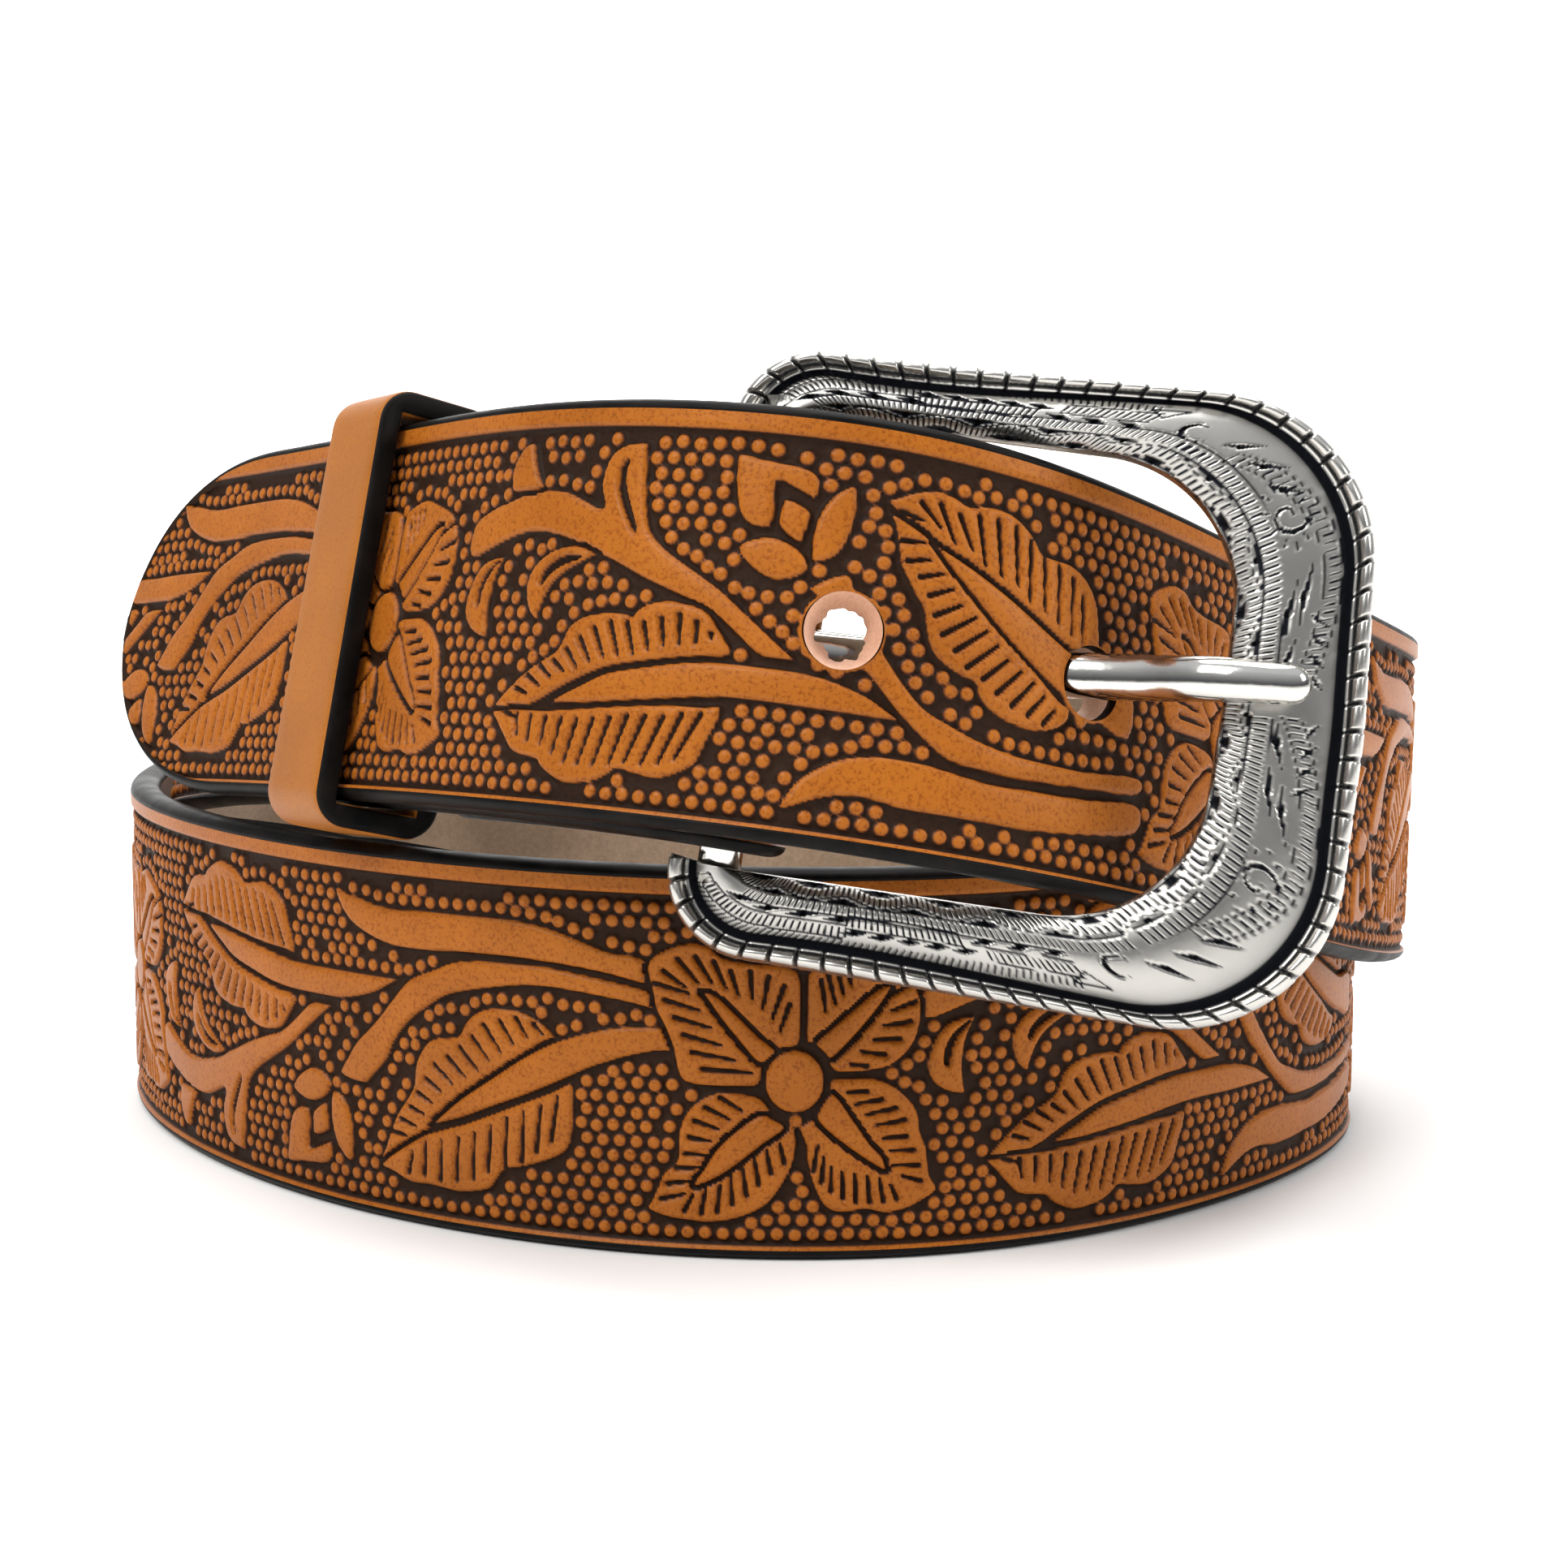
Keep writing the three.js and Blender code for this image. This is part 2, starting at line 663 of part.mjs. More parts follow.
const belt = new THREE.Group()
function addPiece(name, solid, material) {
  const mesh = new THREE.Mesh(toGeometry(solid), material)
  mesh.name = name
  belt.add(mesh)
}

addPiece('strap', makeStrap(), leather(0xb8692a))
addPiece('keeper', makeKeeper(), leather(0xb4703a))
addPiece('buckle_frame', toSolid(toGeometry(makeFrame()).applyMatrix4(bucklePlace)), nickel(castRoughness))
addPiece('buckle_prong', makeProng(), nickel(polishedRoughness))
addPiece('fold_rivet', makeRivet(), nickel(castRoughness))

// Stand the belt on the surface with the origin below its middle
const box = new THREE.Box3().setFromObject(belt)
const middle = box.getCenter(new THREE.Vector3())
belt.position.set(-middle.x, -middle.y, -box.min.z)

const group = new THREE.Group()
group.add(belt)
export default group
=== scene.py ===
import math

import bpy
import numpy as np
from mathutils import Matrix, Vector


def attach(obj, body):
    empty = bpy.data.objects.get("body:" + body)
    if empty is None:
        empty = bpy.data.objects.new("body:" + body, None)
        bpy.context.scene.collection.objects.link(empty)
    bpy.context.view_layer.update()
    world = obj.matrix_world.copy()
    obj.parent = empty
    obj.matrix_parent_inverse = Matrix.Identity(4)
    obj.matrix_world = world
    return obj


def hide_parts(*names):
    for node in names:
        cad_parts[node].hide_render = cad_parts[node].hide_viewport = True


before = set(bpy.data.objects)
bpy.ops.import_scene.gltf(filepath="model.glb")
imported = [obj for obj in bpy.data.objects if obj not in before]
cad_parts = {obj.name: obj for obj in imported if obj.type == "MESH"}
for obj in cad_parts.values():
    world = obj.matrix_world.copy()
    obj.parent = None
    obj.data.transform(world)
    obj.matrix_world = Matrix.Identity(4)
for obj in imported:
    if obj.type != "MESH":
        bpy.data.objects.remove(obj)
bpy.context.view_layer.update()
print("frame loaded")

mm = 0.001

# camera, floor, light

camera = {
    "place": (1.62, -306.22, 75.34),   # mm
    "down": 0.117,                      # radians below level
    "roll": 0.006,
    "lens": 61.23,                      # on a 36 mm sensor
}


def makeCamera():
    data = bpy.data.cameras.new("photoCamera")
    data.lens = camera["lens"]
    data.sensor_width = 36
    data.clip_start = 0.01
    data.clip_end = 50
    held = bpy.data.objects.new("photoCamera", data)
    bpy.context.collection.objects.link(held)
    right = Vector((1, 0, 0))
    upward = Vector((0, math.sin(camera["down"]), math.cos(camera["down"])))
    back = Vector((0, -math.cos(camera["down"]), math.sin(camera["down"])))
    c, s = math.cos(camera["roll"]), math.sin(camera["roll"])
    x, y = right * c + upward * s, upward * c - right * s
    turn = Matrix((x, y, back)).transposed().to_4x4()
    held.matrix_world = Matrix.Translation(Vector(camera["place"]) * mm) @ turn
    bpy.context.scene.camera = held


makeCamera()

# node helpers

def nodeMaterial(name):
    made = bpy.data.materials.new(name)
    made.use_nodes = True
    return made, made.node_tree, made.node_tree.nodes["Principled BSDF"]


def addNode(tree, kind, **values):
    made = tree.nodes.new(kind)
    for name, value in values.items():
        if name in made.inputs:
            made.inputs[name].default_value = value
        else:
            setattr(made, name, value)
    return made


def feed(tree, socket, value):
    if isinstance(value, bpy.types.NodeSocket):
        tree.links.new(value, socket)
    else:
        socket.default_value = value


def rampOf(tree, source, stops):
    ramp = tree.nodes.new("ShaderNodeValToRGB")
    elements = ramp.color_ramp.elements
    while len(elements) < len(stops):
        elements.new(0.5)
    for element, (place, colour) in zip(elements, stops):
        element.position = place
        element.color = (*colour, 1)
    tree.links.new(source, ramp.inputs["Fac"])
    return ramp.outputs["Color"]


def greyOf(tree, source, *stops):
    return rampOf(tree, source, [(place, (value,) * 3) for place, value in stops])


def noiseOf(tree, coordinates, scale, detail=4, roughness=0.55):
    noise = addNode(tree, "ShaderNodeTexNoise", Scale=scale, Detail=detail, Roughness=roughness)
    tree.links.new(coordinates, noise.inputs["Vector"])
    return noise.outputs["Fac"]


def mixOf(tree, kind, factor, a, b):
    mix = addNode(tree, "ShaderNodeMix", data_type="RGBA", blend_type=kind)
    for number, value in ((0, factor), (6, a), (7, b)):
        feed(tree, mix.inputs[number], value)
    return mix.outputs[2]


def mathOf(tree, kind, a, b):
    node = addNode(tree, "ShaderNodeMath", operation=kind)
    feed(tree, node.inputs[0], a)
    feed(tree, node.inputs[1], b)
    return node.outputs[0]


def bumpOf(tree, shader, height, distance, strength=1.0, before=None):
    bump = addNode(tree, "ShaderNodeBump", Strength=strength, Distance=distance)
    tree.links.new(height, bump.inputs["Height"])
    if before is not None:
        tree.links.new(before, bump.inputs["Normal"])
    tree.links.new(bump.outputs["Normal"], shader.inputs["Normal"])
    return bump.outputs["Normal"]


def objectCoordinates(tree):
    return tree.nodes.new("ShaderNodeTexCoord").outputs["Object"]


studio = {
    "floorColour": (0.94, 0.935, 0.925),
    "floorFront": -4.0,           # metres
    "floorSide": 5.0,
    "bendAt": 0.9,
    "bendRadius": 0.5,            # where the floor turns up into the backdrop
    "backdropTop": 5.0,
    "skyTop": (0.95, 0.97, 1.0),
    "skyLow": (0.10, 0.10, 0.11),
    "skySeen": (1.3, 1.3, 1.3, 1),   # the pale room that the camera sees past the backdrop
    "skyStrength": 0.75,
    "lights": [  # name, place, aim, size, watts, colour
        ("keySoftbox", (-0.45, -0.55, 0.70), (0, 0, 0.04), 0.45, 6.5, (1.0, 0.98, 0.95)),
        ("topSoftbox", (0.05, 0.10, 0.95), (0, 0, 0.03), 0.70, 7.0, (1.0, 1.0, 1.0)),
        ("rightStrip", (0.65, -0.25, 0.35), (0, 0, 0.05), 0.25, 1.8, (1.0, 0.99, 0.97)),
        ("backdropLight", (0.0, 0.55, 0.9), (0, 1.6, 0.4), 0.9, 26.0, (1.0, 1.0, 1.0)),
    ],
}


def makeFloor():
    radius, start, side = studio["bendRadius"], studio["bendAt"], studio["floorSide"]
    angles = np.linspace(0, math.pi / 2, 25)
    bend = [(start + radius * math.sin(a), radius * (1 - math.cos(a))) for a in angles]
    line = [(studio["floorFront"], 0.0)] + bend + [(start + radius, studio["backdropTop"])]
    points = [(x, y, z) for y, z in line for x in (-side, side)]
    quads = [(2 * k, 2 * k + 1, 2 * k + 3, 2 * k + 2) for k in range(len(line) - 1)]
    mesh = bpy.data.meshes.new("studioFloor")
    mesh.from_pydata(points, [], quads)
    mesh.shade_smooth()
    floor = bpy.data.objects.new("studioFloor", mesh)
    bpy.context.collection.objects.link(floor)
    made, tree, shader = nodeMaterial("paleFloor")
    cloud = addNode(tree, "ShaderNodeTexNoise", Scale=3).outputs["Fac"]
    pale = studio["floorColour"]
    colour = rampOf(tree, cloud, [(0, tuple(v * 0.99 for v in pale)), (1, pale)])
    feed(tree, shader.inputs["Base Color"], colour)
    shader.inputs["Roughness"].default_value = 0.75
    shader.inputs["Specular IOR Level"].default_value = 0.25
    floor.data.materials.append(made)


def makeSky():
    world = bpy.data.worlds.new("studioWorld")
    bpy.context.scene.world = world
    world.use_nodes = True
    tree = world.node_tree
    height = tree.nodes.new("ShaderNodeSeparateXYZ")
    tree.links.new(tree.nodes.new("ShaderNodeTexCoord").outputs["Generated"], height.inputs[0])
    lit = rampOf(tree, height.outputs["Z"], [(0.05, studio["skyLow"]), (0.75, studio["skyTop"])])
    seen = tree.nodes.new("ShaderNodeLightPath").outputs["Is Camera Ray"]
    sky = tree.nodes["Background"]
    feed(tree, sky.inputs["Color"], mixOf(tree, "MIX", seen, lit, studio["skySeen"]))
    sky.inputs["Strength"].default_value = studio["skyStrength"]


def makeLights():
    for name, place, aim, size, watts, warmth in studio["lights"]:
        data = bpy.data.lights.new(name, "AREA")
        data.size = size
        data.energy = watts
        data.color = warmth
        lamp = bpy.data.objects.new(name, data)
        lamp.location = place
        lamp.rotation_mode = "QUATERNION"
        lamp.rotation_quaternion = (Vector(aim) - Vector(place)).to_track_quat("-Z", "Y")
        bpy.context.collection.objects.link(lamp)


makeFloor()
makeSky()
makeLights()
bpy.context.scene.view_settings.view_transform = "Standard"
print("camera, floor and lights placed")

# the strap's route, as the solid has it

strap = {
    "width": 38.0,
    "thickness": 3.5,
    "edgeRound": 1.1,
    "faceSink": 1.08,      # how far the body's face lies below the tooled sheets' highest parts
    "half": 75.0,          # half the wound loop
    "heelAt": 9.0,
    "layers": 4.0,         # one layer to the next
    "barRadius": 2.0,
    "barClearance": 0.55,
    "drop": 1.0,
    "dropRun": 60.0,
    "settles": 0.8,
    "flapLength": 38.0,
    "flapCloses": 22.0,
    "tipReach": 102.0,
    "tipLength": 27.0,
    "tipSpring": 6.0,
    "tipBlunt": 2.4,
    "keeperAt": 45.4,
    "keeperLength": 11.4,
    "overlapAt": 54.0,
    "middle": (-0.469, -1.556),     # from the route's own zero to the middle of the whole
}

# side, depth and rise as shares of half the loop and of the width, lean in degrees
route = np.array([
    (0.08, -1.02, 1.64, -10), (-0.26, -0.87, 1.67, -12), (-0.51, -0.53, 1.61, -14),
    (-0.78, -0.14, 1.53, -15), (-1.00, 0.24, 1.38, -14), (-0.90, 0.62, 1.26, -9),
    (-0.60, 0.85, 1.10, -3), (-0.16, 0.93, 0.92, 0), (0.31, 0.87, 0.75, 1),
    (0.69, 0.64, 0.57, 1), (0.92, 0.29, 0.50, 0), (0.90, -0.10, 0.50, 0),
    (0.65, -0.46, 0.50, 0), (0.30, -0.72, 0.50, 0), (-0.12, -0.75, 0.50, 0),
    (-0.56, -0.54, 0.50, 0), (-0.89, -0.15, 0.50, 0), (-1.05, 0.28, 0.50, 0),
    (-0.97, 0.68, 0.54, 0), (-0.58, 0.99, 0.67, 0), (-0.01, 1.09, 0.83, 1),
    (0.55, 0.98, 0.92, 3), (0.95, 0.67, 0.92, 4), (1.06, 0.26, 0.94, 3),
    (0.90, -0.18, 1.06, -3), (0.65, -0.59, 1.28, -8), (0.38, -0.91, 1.50, -10),
])


def unit(v):
    return v / np.linalg.norm(v, axis=-1, keepdims=True)


def smoothStep(a, b, x):
    t = np.clip((x - a) / (b - a), 0, 1)
    return t * t * (3 - 2 * t)


# a smooth closed curve drawn by the rows, four of them at a time
def routePoint(row):
    first = np.floor(row).astype(int)
    t = row - first
    weights = ((1 - t) ** 3 / 6, (3 * t ** 3 - 6 * t ** 2 + 4) / 6,
               (-3 * t ** 3 + 3 * t ** 2 + 3 * t + 1) / 6, t ** 3 / 6)
    mixed = sum(weight[:, None] * route[(first + k - 1) % len(route)] for k, weight in enumerate(weights))
    scale = np.array([strap["half"], strap["half"], strap["width"]])
    return mixed[:, :3] * scale, mixed[:, 3]


samplesPerRow = 16
rowOf = np.arange(len(route) * samplesPerRow + 1) / samplesPerRow
pointOf, leanOf = routePoint(rowOf)
alongOf = unit(routePoint(rowOf + 0.01)[0] - routePoint(rowOf - 0.01 + len(route))[0])
upright = np.array([0.0, 0.0, 1.0])
acrossOf = unit(upright - alongOf * (alongOf @ upright)[:, None])
outOf = np.cross(acrossOf, alongOf)
leanCos, leanSin = np.cos(np.radians(leanOf))[:, None], np.sin(np.radians(leanOf))[:, None]
acrossOf, outOf = acrossOf * leanCos + outOf * leanSin, outOf * leanCos - acrossOf * leanSin
runOf = np.concatenate([[0], np.cumsum(np.linalg.norm(np.diff(pointOf, axis=0), axis=1))])
turn = runOf[-1]
strapLength = turn + strap["tipReach"]
shift = np.array([*strap["middle"], 0.0])


def routeAt(length):
    run = np.mod(length, turn)

    def mix(rows):
        return np.stack([np.interp(run, runOf, rows[:, k]) for k in range(3)], 1)
    return (mix(pointOf), unit(mix(alongOf)), unit(mix(acrossOf)), unit(mix(outOf)),
            np.interp(run, runOf, rowOf))


# the strap from the heel bar on; its end at the bar drops a little and lies one layer further in
def buckleEnd(length):
    point, along, across, out, row = routeAt(strap["heelAt"] + length)
    inwards = strap["layers"] * (1 - smoothStep(7, 10, row))
    left = np.maximum(0, 1 - length / strap["dropRun"])
    angle = np.arctan(2 * strap["drop"] / strap["dropRun"] * left)[:, None]
    point = point - out * inwards[:, None] - across * (strap["drop"] * left ** 2)[:, None]
    return (point, along * np.cos(angle) + across * np.sin(angle),
            across * np.cos(angle) - along * np.sin(angle), out)


def tipEnd(length):
    point, along, across, out, _ = routeAt(strap["heelAt"] + length)
    start = strap["keeperAt"] + strap["keeperLength"]
    free = np.maximum(0, length - start) / (strap["tipReach"] - start)
    return point + out * (strap["tipSpring"] * free ** 2)[:, None], along, across, out


heel = [v[0] for v in buckleEnd(np.array([0.0]))]
foldRadius = strap["barRadius"] + strap["barClearance"] + strap["thickness"] / 2
foldCentre = heel[0] - heel[3] * foldRadius
foldLength = math.pi * foldRadius


# middle line, its direction, across and outwards; the fold and flap are at lengths below 0
def strapAt(length):
    length = np.asarray(length, float)
    found = [np.zeros((len(length), 3)) for _ in range(4)]

    def put(mask, parts):
        for whole, part in zip(found, parts):
            whole[mask] = part
    tip = length > turn - strap["overlapAt"]
    put(tip, tipEnd(length[tip] - turn))
    body = (length >= 0) & ~tip
    put(body, buckleEnd(length[body]))
    fold = (length < 0) & (length > -foldLength)
    if fold.any():
        angle = (-length[fold] / foldRadius)[:, None]
        out = heel[3] * np.cos(angle) - heel[1] * np.sin(angle)
        across = np.repeat(heel[2][None], fold.sum(), 0)
        put(fold, (foldCentre + out * foldRadius, np.cross(out, across), across, out))
    flap = length <= -foldLength
    if flap.any():
        back = -length[flap] - foldLength
        point, along, across, out = buckleEnd(back)
        opened = 1 - smoothStep(0, strap["flapCloses"], back)
        apart = strap["layers"] + (2 * foldRadius - strap["layers"]) * opened
        put(flap, (point - out * apart[:, None], -along, across, -out))
    found[0] = found[0] + shift
    return found


def halfWidthAt(length):
    gone = np.clip(1 - (strapLength - length) / strap["tipLength"], 0, 1)
    share = np.maximum(0.12, np.sqrt(np.maximum(0, 1 - gone ** strap["tipBlunt"])))
    return strap["width"] / 2 * share


# mesh helpers

def meshFrom(name, points, quads, triangles=(), smooth=True):
    mesh = bpy.data.meshes.new(name)
    quads = np.asarray(quads, int).reshape(-1, 4)
    triangles = np.asarray(triangles, int).reshape(-1, 3)
    mesh.vertices.add(len(points))
    mesh.vertices.foreach_set("co", (np.asarray(points) * mm).astype(np.float32).ravel())
    loops = np.concatenate([quads.ravel(), triangles.ravel()])
    mesh.loops.add(len(loops))
    mesh.loops.foreach_set("vertex_index", loops.astype(np.int32))
    sizes = np.concatenate([np.full(len(quads), 4), np.full(len(triangles), 3)])
    mesh.polygons.add(len(sizes))
    starts = np.concatenate([[0], np.cumsum(sizes)[:-1]])
    mesh.polygons.foreach_set("loop_start", starts.astype(np.int32))
    mesh.update(calc_edges=True)
    mesh.polygons.foreach_set("use_smooth", np.full(len(sizes), smooth))
    made = bpy.data.objects.new(name, mesh)
    bpy.context.collection.objects.link(made)
    return made


def gridQuads(rows, columns, closedColumns=False, flip=False):
    around = columns if closedColumns else columns - 1
    i, k = np.meshgrid(np.arange(rows - 1), np.arange(around), indexing="ij")
    nextK = (k + 1) % columns
    a, b, c, d = i * columns + k, i * columns + nextK, (i + 1) * columns + nextK, (i + 1) * columns + k
    quads = np.stack([a, d, c, b] if flip else [a, b, c, d], -1)
    return quads.reshape(-1, 4)


def pointValues(made, name, values):
    layer = made.data.attributes.new(name, "FLOAT", "POINT")
    layer.data.foreach_set("value", np.asarray(values, np.float32).ravel())


def faceMaterials(made, indices):
    made.data.polygons.foreach_set("material_index", np.asarray(indices, np.int32))
    made.data.update()


def finishPiece(made, slot, *nodes):
    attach(made, "root")
    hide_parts(*nodes)
    return made


# finishes

tooledLook = {
    "groundColour": (0.021, 0.0080, 0.0022),
    "sideColour": (0.125, 0.036, 0.008),
    "topColour": (0.36, 0.112, 0.011),
    "gloss": 0.15,
    "blotches": 90,       # how fine each pattern is
    "pores": 2600,
    "creases": 1500,
}


def makeTooledLeather():
    made, tree, shader = nodeMaterial("tooledTanLeather")
    place = objectCoordinates(tree)
    relief = addNode(tree, "ShaderNodeAttribute", attribute_name="relief").outputs["Fac"]
    blotch = noiseOf(tree, place, tooledLook["blotches"], 5)
    pores = noiseOf(tree, place, tooledLook["pores"], 3, 0.7)
    uneven = mathOf(tree, "MULTIPLY", mathOf(tree, "SUBTRACT", blotch, 0.5), 0.10)
    level = mathOf(tree, "ADD", relief, uneven)
    colour = rampOf(tree, level, [
        (0.0, tooledLook["groundColour"]), (0.36, tooledLook["groundColour"]),
        (0.56, tooledLook["sideColour"]), (0.80, tooledLook["topColour"]), (1.0, tooledLook["topColour"])])
    warm = rampOf(tree, blotch, [(0.3, (0.80, 0.74, 0.70)), (0.7, (1.12, 1.10, 1.08))])
    colour = mixOf(tree, "MULTIPLY", 0.8, colour, warm)
    specks = rampOf(tree, pores, [(0.36, (0.55, 0.42, 0.34)), (0.50, (1, 1, 1))])
    feed(tree, shader.inputs["Base Color"], mixOf(tree, "MULTIPLY", 0.75, colour, specks))
    feed(tree, shader.inputs["Roughness"], greyOf(tree, level, (0.3, 0.62), (0.8, 0.38)))
    shader.inputs["Specular IOR Level"].default_value = tooledLook["gloss"]
    first = bumpOf(tree, shader, pores, 0.00006, 0.5)
    creases = addNode(tree, "ShaderNodeTexVoronoi", feature="DISTANCE_TO_EDGE", Scale=tooledLook["creases"])
    tree.links.new(place, creases.inputs["Vector"])
    bumpOf(tree, shader, creases.outputs["Distance"], 0.00005, 0.5, first)
    return made


paintLook = {
    "black": (0.004, 0.004, 0.004),
    "worn": (0.012, 0.010, 0.009),
    "gloss": 0.06,
    "wear": 260,
}


def makePaintedEdge():
    made, tree, shader = nodeMaterial("blackEdgePaint")
    wear = noiseOf(tree, objectCoordinates(tree), paintLook["wear"])
    colour = rampOf(tree, wear, [(0.35, paintLook["black"]), (0.75, paintLook["worn"])])
    feed(tree, shader.inputs["Base Color"], colour)
    feed(tree, shader.inputs["Roughness"], greyOf(tree, wear, (0.3, 0.36), (0.8, 0.54)))
    shader.inputs["Specular IOR Level"].default_value = paintLook["gloss"]
    bumpOf(tree, shader, wear, 0.0003, 0.25)
    return made


fleshLook = {
    "dark": (0.20, 0.135, 0.085),
    "pale": (0.34, 0.245, 0.165),
    "fibres": 1400,
    "roughness": 0.85,
    "sheen": 0.15,
}


def makeFleshSide():
    made, tree, shader = nodeMaterial("fleshSide")
    place = objectCoordinates(tree)
    colour = rampOf(tree, noiseOf(tree, place, 60, 5), [(0.3, fleshLook["dark"]), (0.7, fleshLook["pale"])])
    fibres = noiseOf(tree, place, fleshLook["fibres"], 5, 0.75)
    nap = rampOf(tree, fibres, [(0.3, (0.6, 0.55, 0.5)), (0.65, (1.15, 1.12, 1.1))])
    feed(tree, shader.inputs["Base Color"], mixOf(tree, "MULTIPLY", 0.6, colour, nap))
    shader.inputs["Roughness"].default_value = fleshLook["roughness"]
    shader.inputs["Sheen Weight"].default_value = fleshLook["sheen"]
    bumpOf(tree, shader, fibres, 0.00018, 0.8)
    return made


keeperLook = {"low": (0.30, 0.098, 0.011), "high": (0.36, 0.122, 0.015), "roughness": 0.42}
cutLook = {"low": (0.55, 0.30, 0.19), "high": (0.78, 0.50, 0.36), "roughness": 0.6}


def makePlainTan(name, look):
    made, tree, shader = nodeMaterial(name)
    place = objectCoordinates(tree)
    broad = noiseOf(tree, place, 110, 5)
    pores = noiseOf(tree, place, 3200, 2, 0.6)
    colour = rampOf(tree, broad, [(0.3, look["low"]), (0.7, look["high"])])
    specks = rampOf(tree, pores, [(0.35, (0.72, 0.66, 0.6)), (0.5, (1, 1, 1))])
    feed(tree, shader.inputs["Base Color"], mixOf(tree, "MULTIPLY", 0.5, colour, specks))
    shader.inputs["Specular IOR Level"].default_value = 0.22
    rough = greyOf(tree, broad, (0.3, look["roughness"] - 0.06), (0.7, look["roughness"] + 0.08))
    feed(tree, shader.inputs["Roughness"], rough)
    bumpOf(tree, shader, pores, 0.00005, 0.35)
    return made


engravedLook = {"tint": (0.60, 0.585, 0.55), "roughness": 0.22, "scuff": 0.1}
polishedLook = {"tint": (0.70, 0.685, 0.65), "roughness": 0.10, "scuff": 0.05}
blackened = (0.012, 0.013, 0.017, 1)     # in the cuts of the engraving


def makeNickel(name, look):
    made, tree, shader = nodeMaterial(name)
    place = objectCoordinates(tree)
    dark = addNode(tree, "ShaderNodeAttribute", attribute_name="shade").outputs["Fac"]
    cloud = noiseOf(tree, place, 240, 5)
    bright = rampOf(tree, cloud, [(0.3, tuple(v * 0.90 for v in look["tint"])), (0.7, look["tint"])])
    feed(tree, shader.inputs["Base Color"], mixOf(tree, "MIX", dark, bright, blackened))
    shader.inputs["Metallic"].default_value = 1.0
    level = mathOf(tree, "ADD", mathOf(tree, "MULTIPLY", cloud, look["scuff"]), look["roughness"])
    level = mathOf(tree, "ADD", level, mathOf(tree, "MULTIPLY", dark, 0.25))
    feed(tree, shader.inputs["Roughness"], level)
    bumpOf(tree, shader, noiseOf(tree, place, 900, 3), 0.00004, 0.3)
    return made


tooledLeather = makeTooledLeather()
edgePaint = makePaintedEdge()
fleshSide = makeFleshSide()
keeperTan = makePlainTan("keeperTanLeather", keeperLook)
cutTan = makePlainTan("cutLeather", cutLook)
engravedNickel = makeNickel("engravedNickel", engravedLook)
polishedNickel = makeNickel("polishedNickel", polishedLook)
print("finishes made")

# The floral tooling, drawn flat: x to the viewer's right, y down from the strap's top edge

tooling = {
    "drawnTo": 24.0,             # drawing units in a millimetre
    "ground": -0.75,             # beaded background below the strap's face
    "groove": 0.27,              # half width of the cut line round each shape
    "grooveDepth": -0.70,
    "bevel": 0.42,
    "bevelFoot": -0.62,          # where a shape's sloping side meets the cut line
    "slitDepth": -0.72,
    "strokeWide": 0.40,
    "strokeNarrow": 0.22,
    "strokeDepth": 0.66,
    "beadRadius": 0.80,
    "beadHeight": 0.55,
    "beadPitch": 1.66,
    "beadRows": 0.866,           # from row to row, as a share of the pitch
    "beadJitter": 0.09,
    "beadRoom": 0.74,            # beads nearer than this to a shape are moved off it
    "beadApart": 1.30,           # least distance between beads
    "gapBeadApart": 1.42,        # the same for those that fill the gaps
    "topRim": 16.15,
    "bottomRim": -17.45,
    "sheetReach": 17.9,          # half width of the tooled sheets
    "pressed": -1.0,             # where the prong lies on the leather
    "dyedFrom": -0.70,           # the dark dye fades from here
    "dyedTo": -0.16,
    "unitLeft": 17.1,            # flower's middle to the left of the unit drawing
    "flowerMiddle": 47.0,        # left of the flower drawing to its middle
    "flowerReach": 20.0,
    "repeat": 100.0,
    "flipAbout": -1.25,
    "holes": [-10.6, -34.6, -58.6, -82.6],    # back from the heel line, on the tip end
    "holeRadius": 3.4,
}

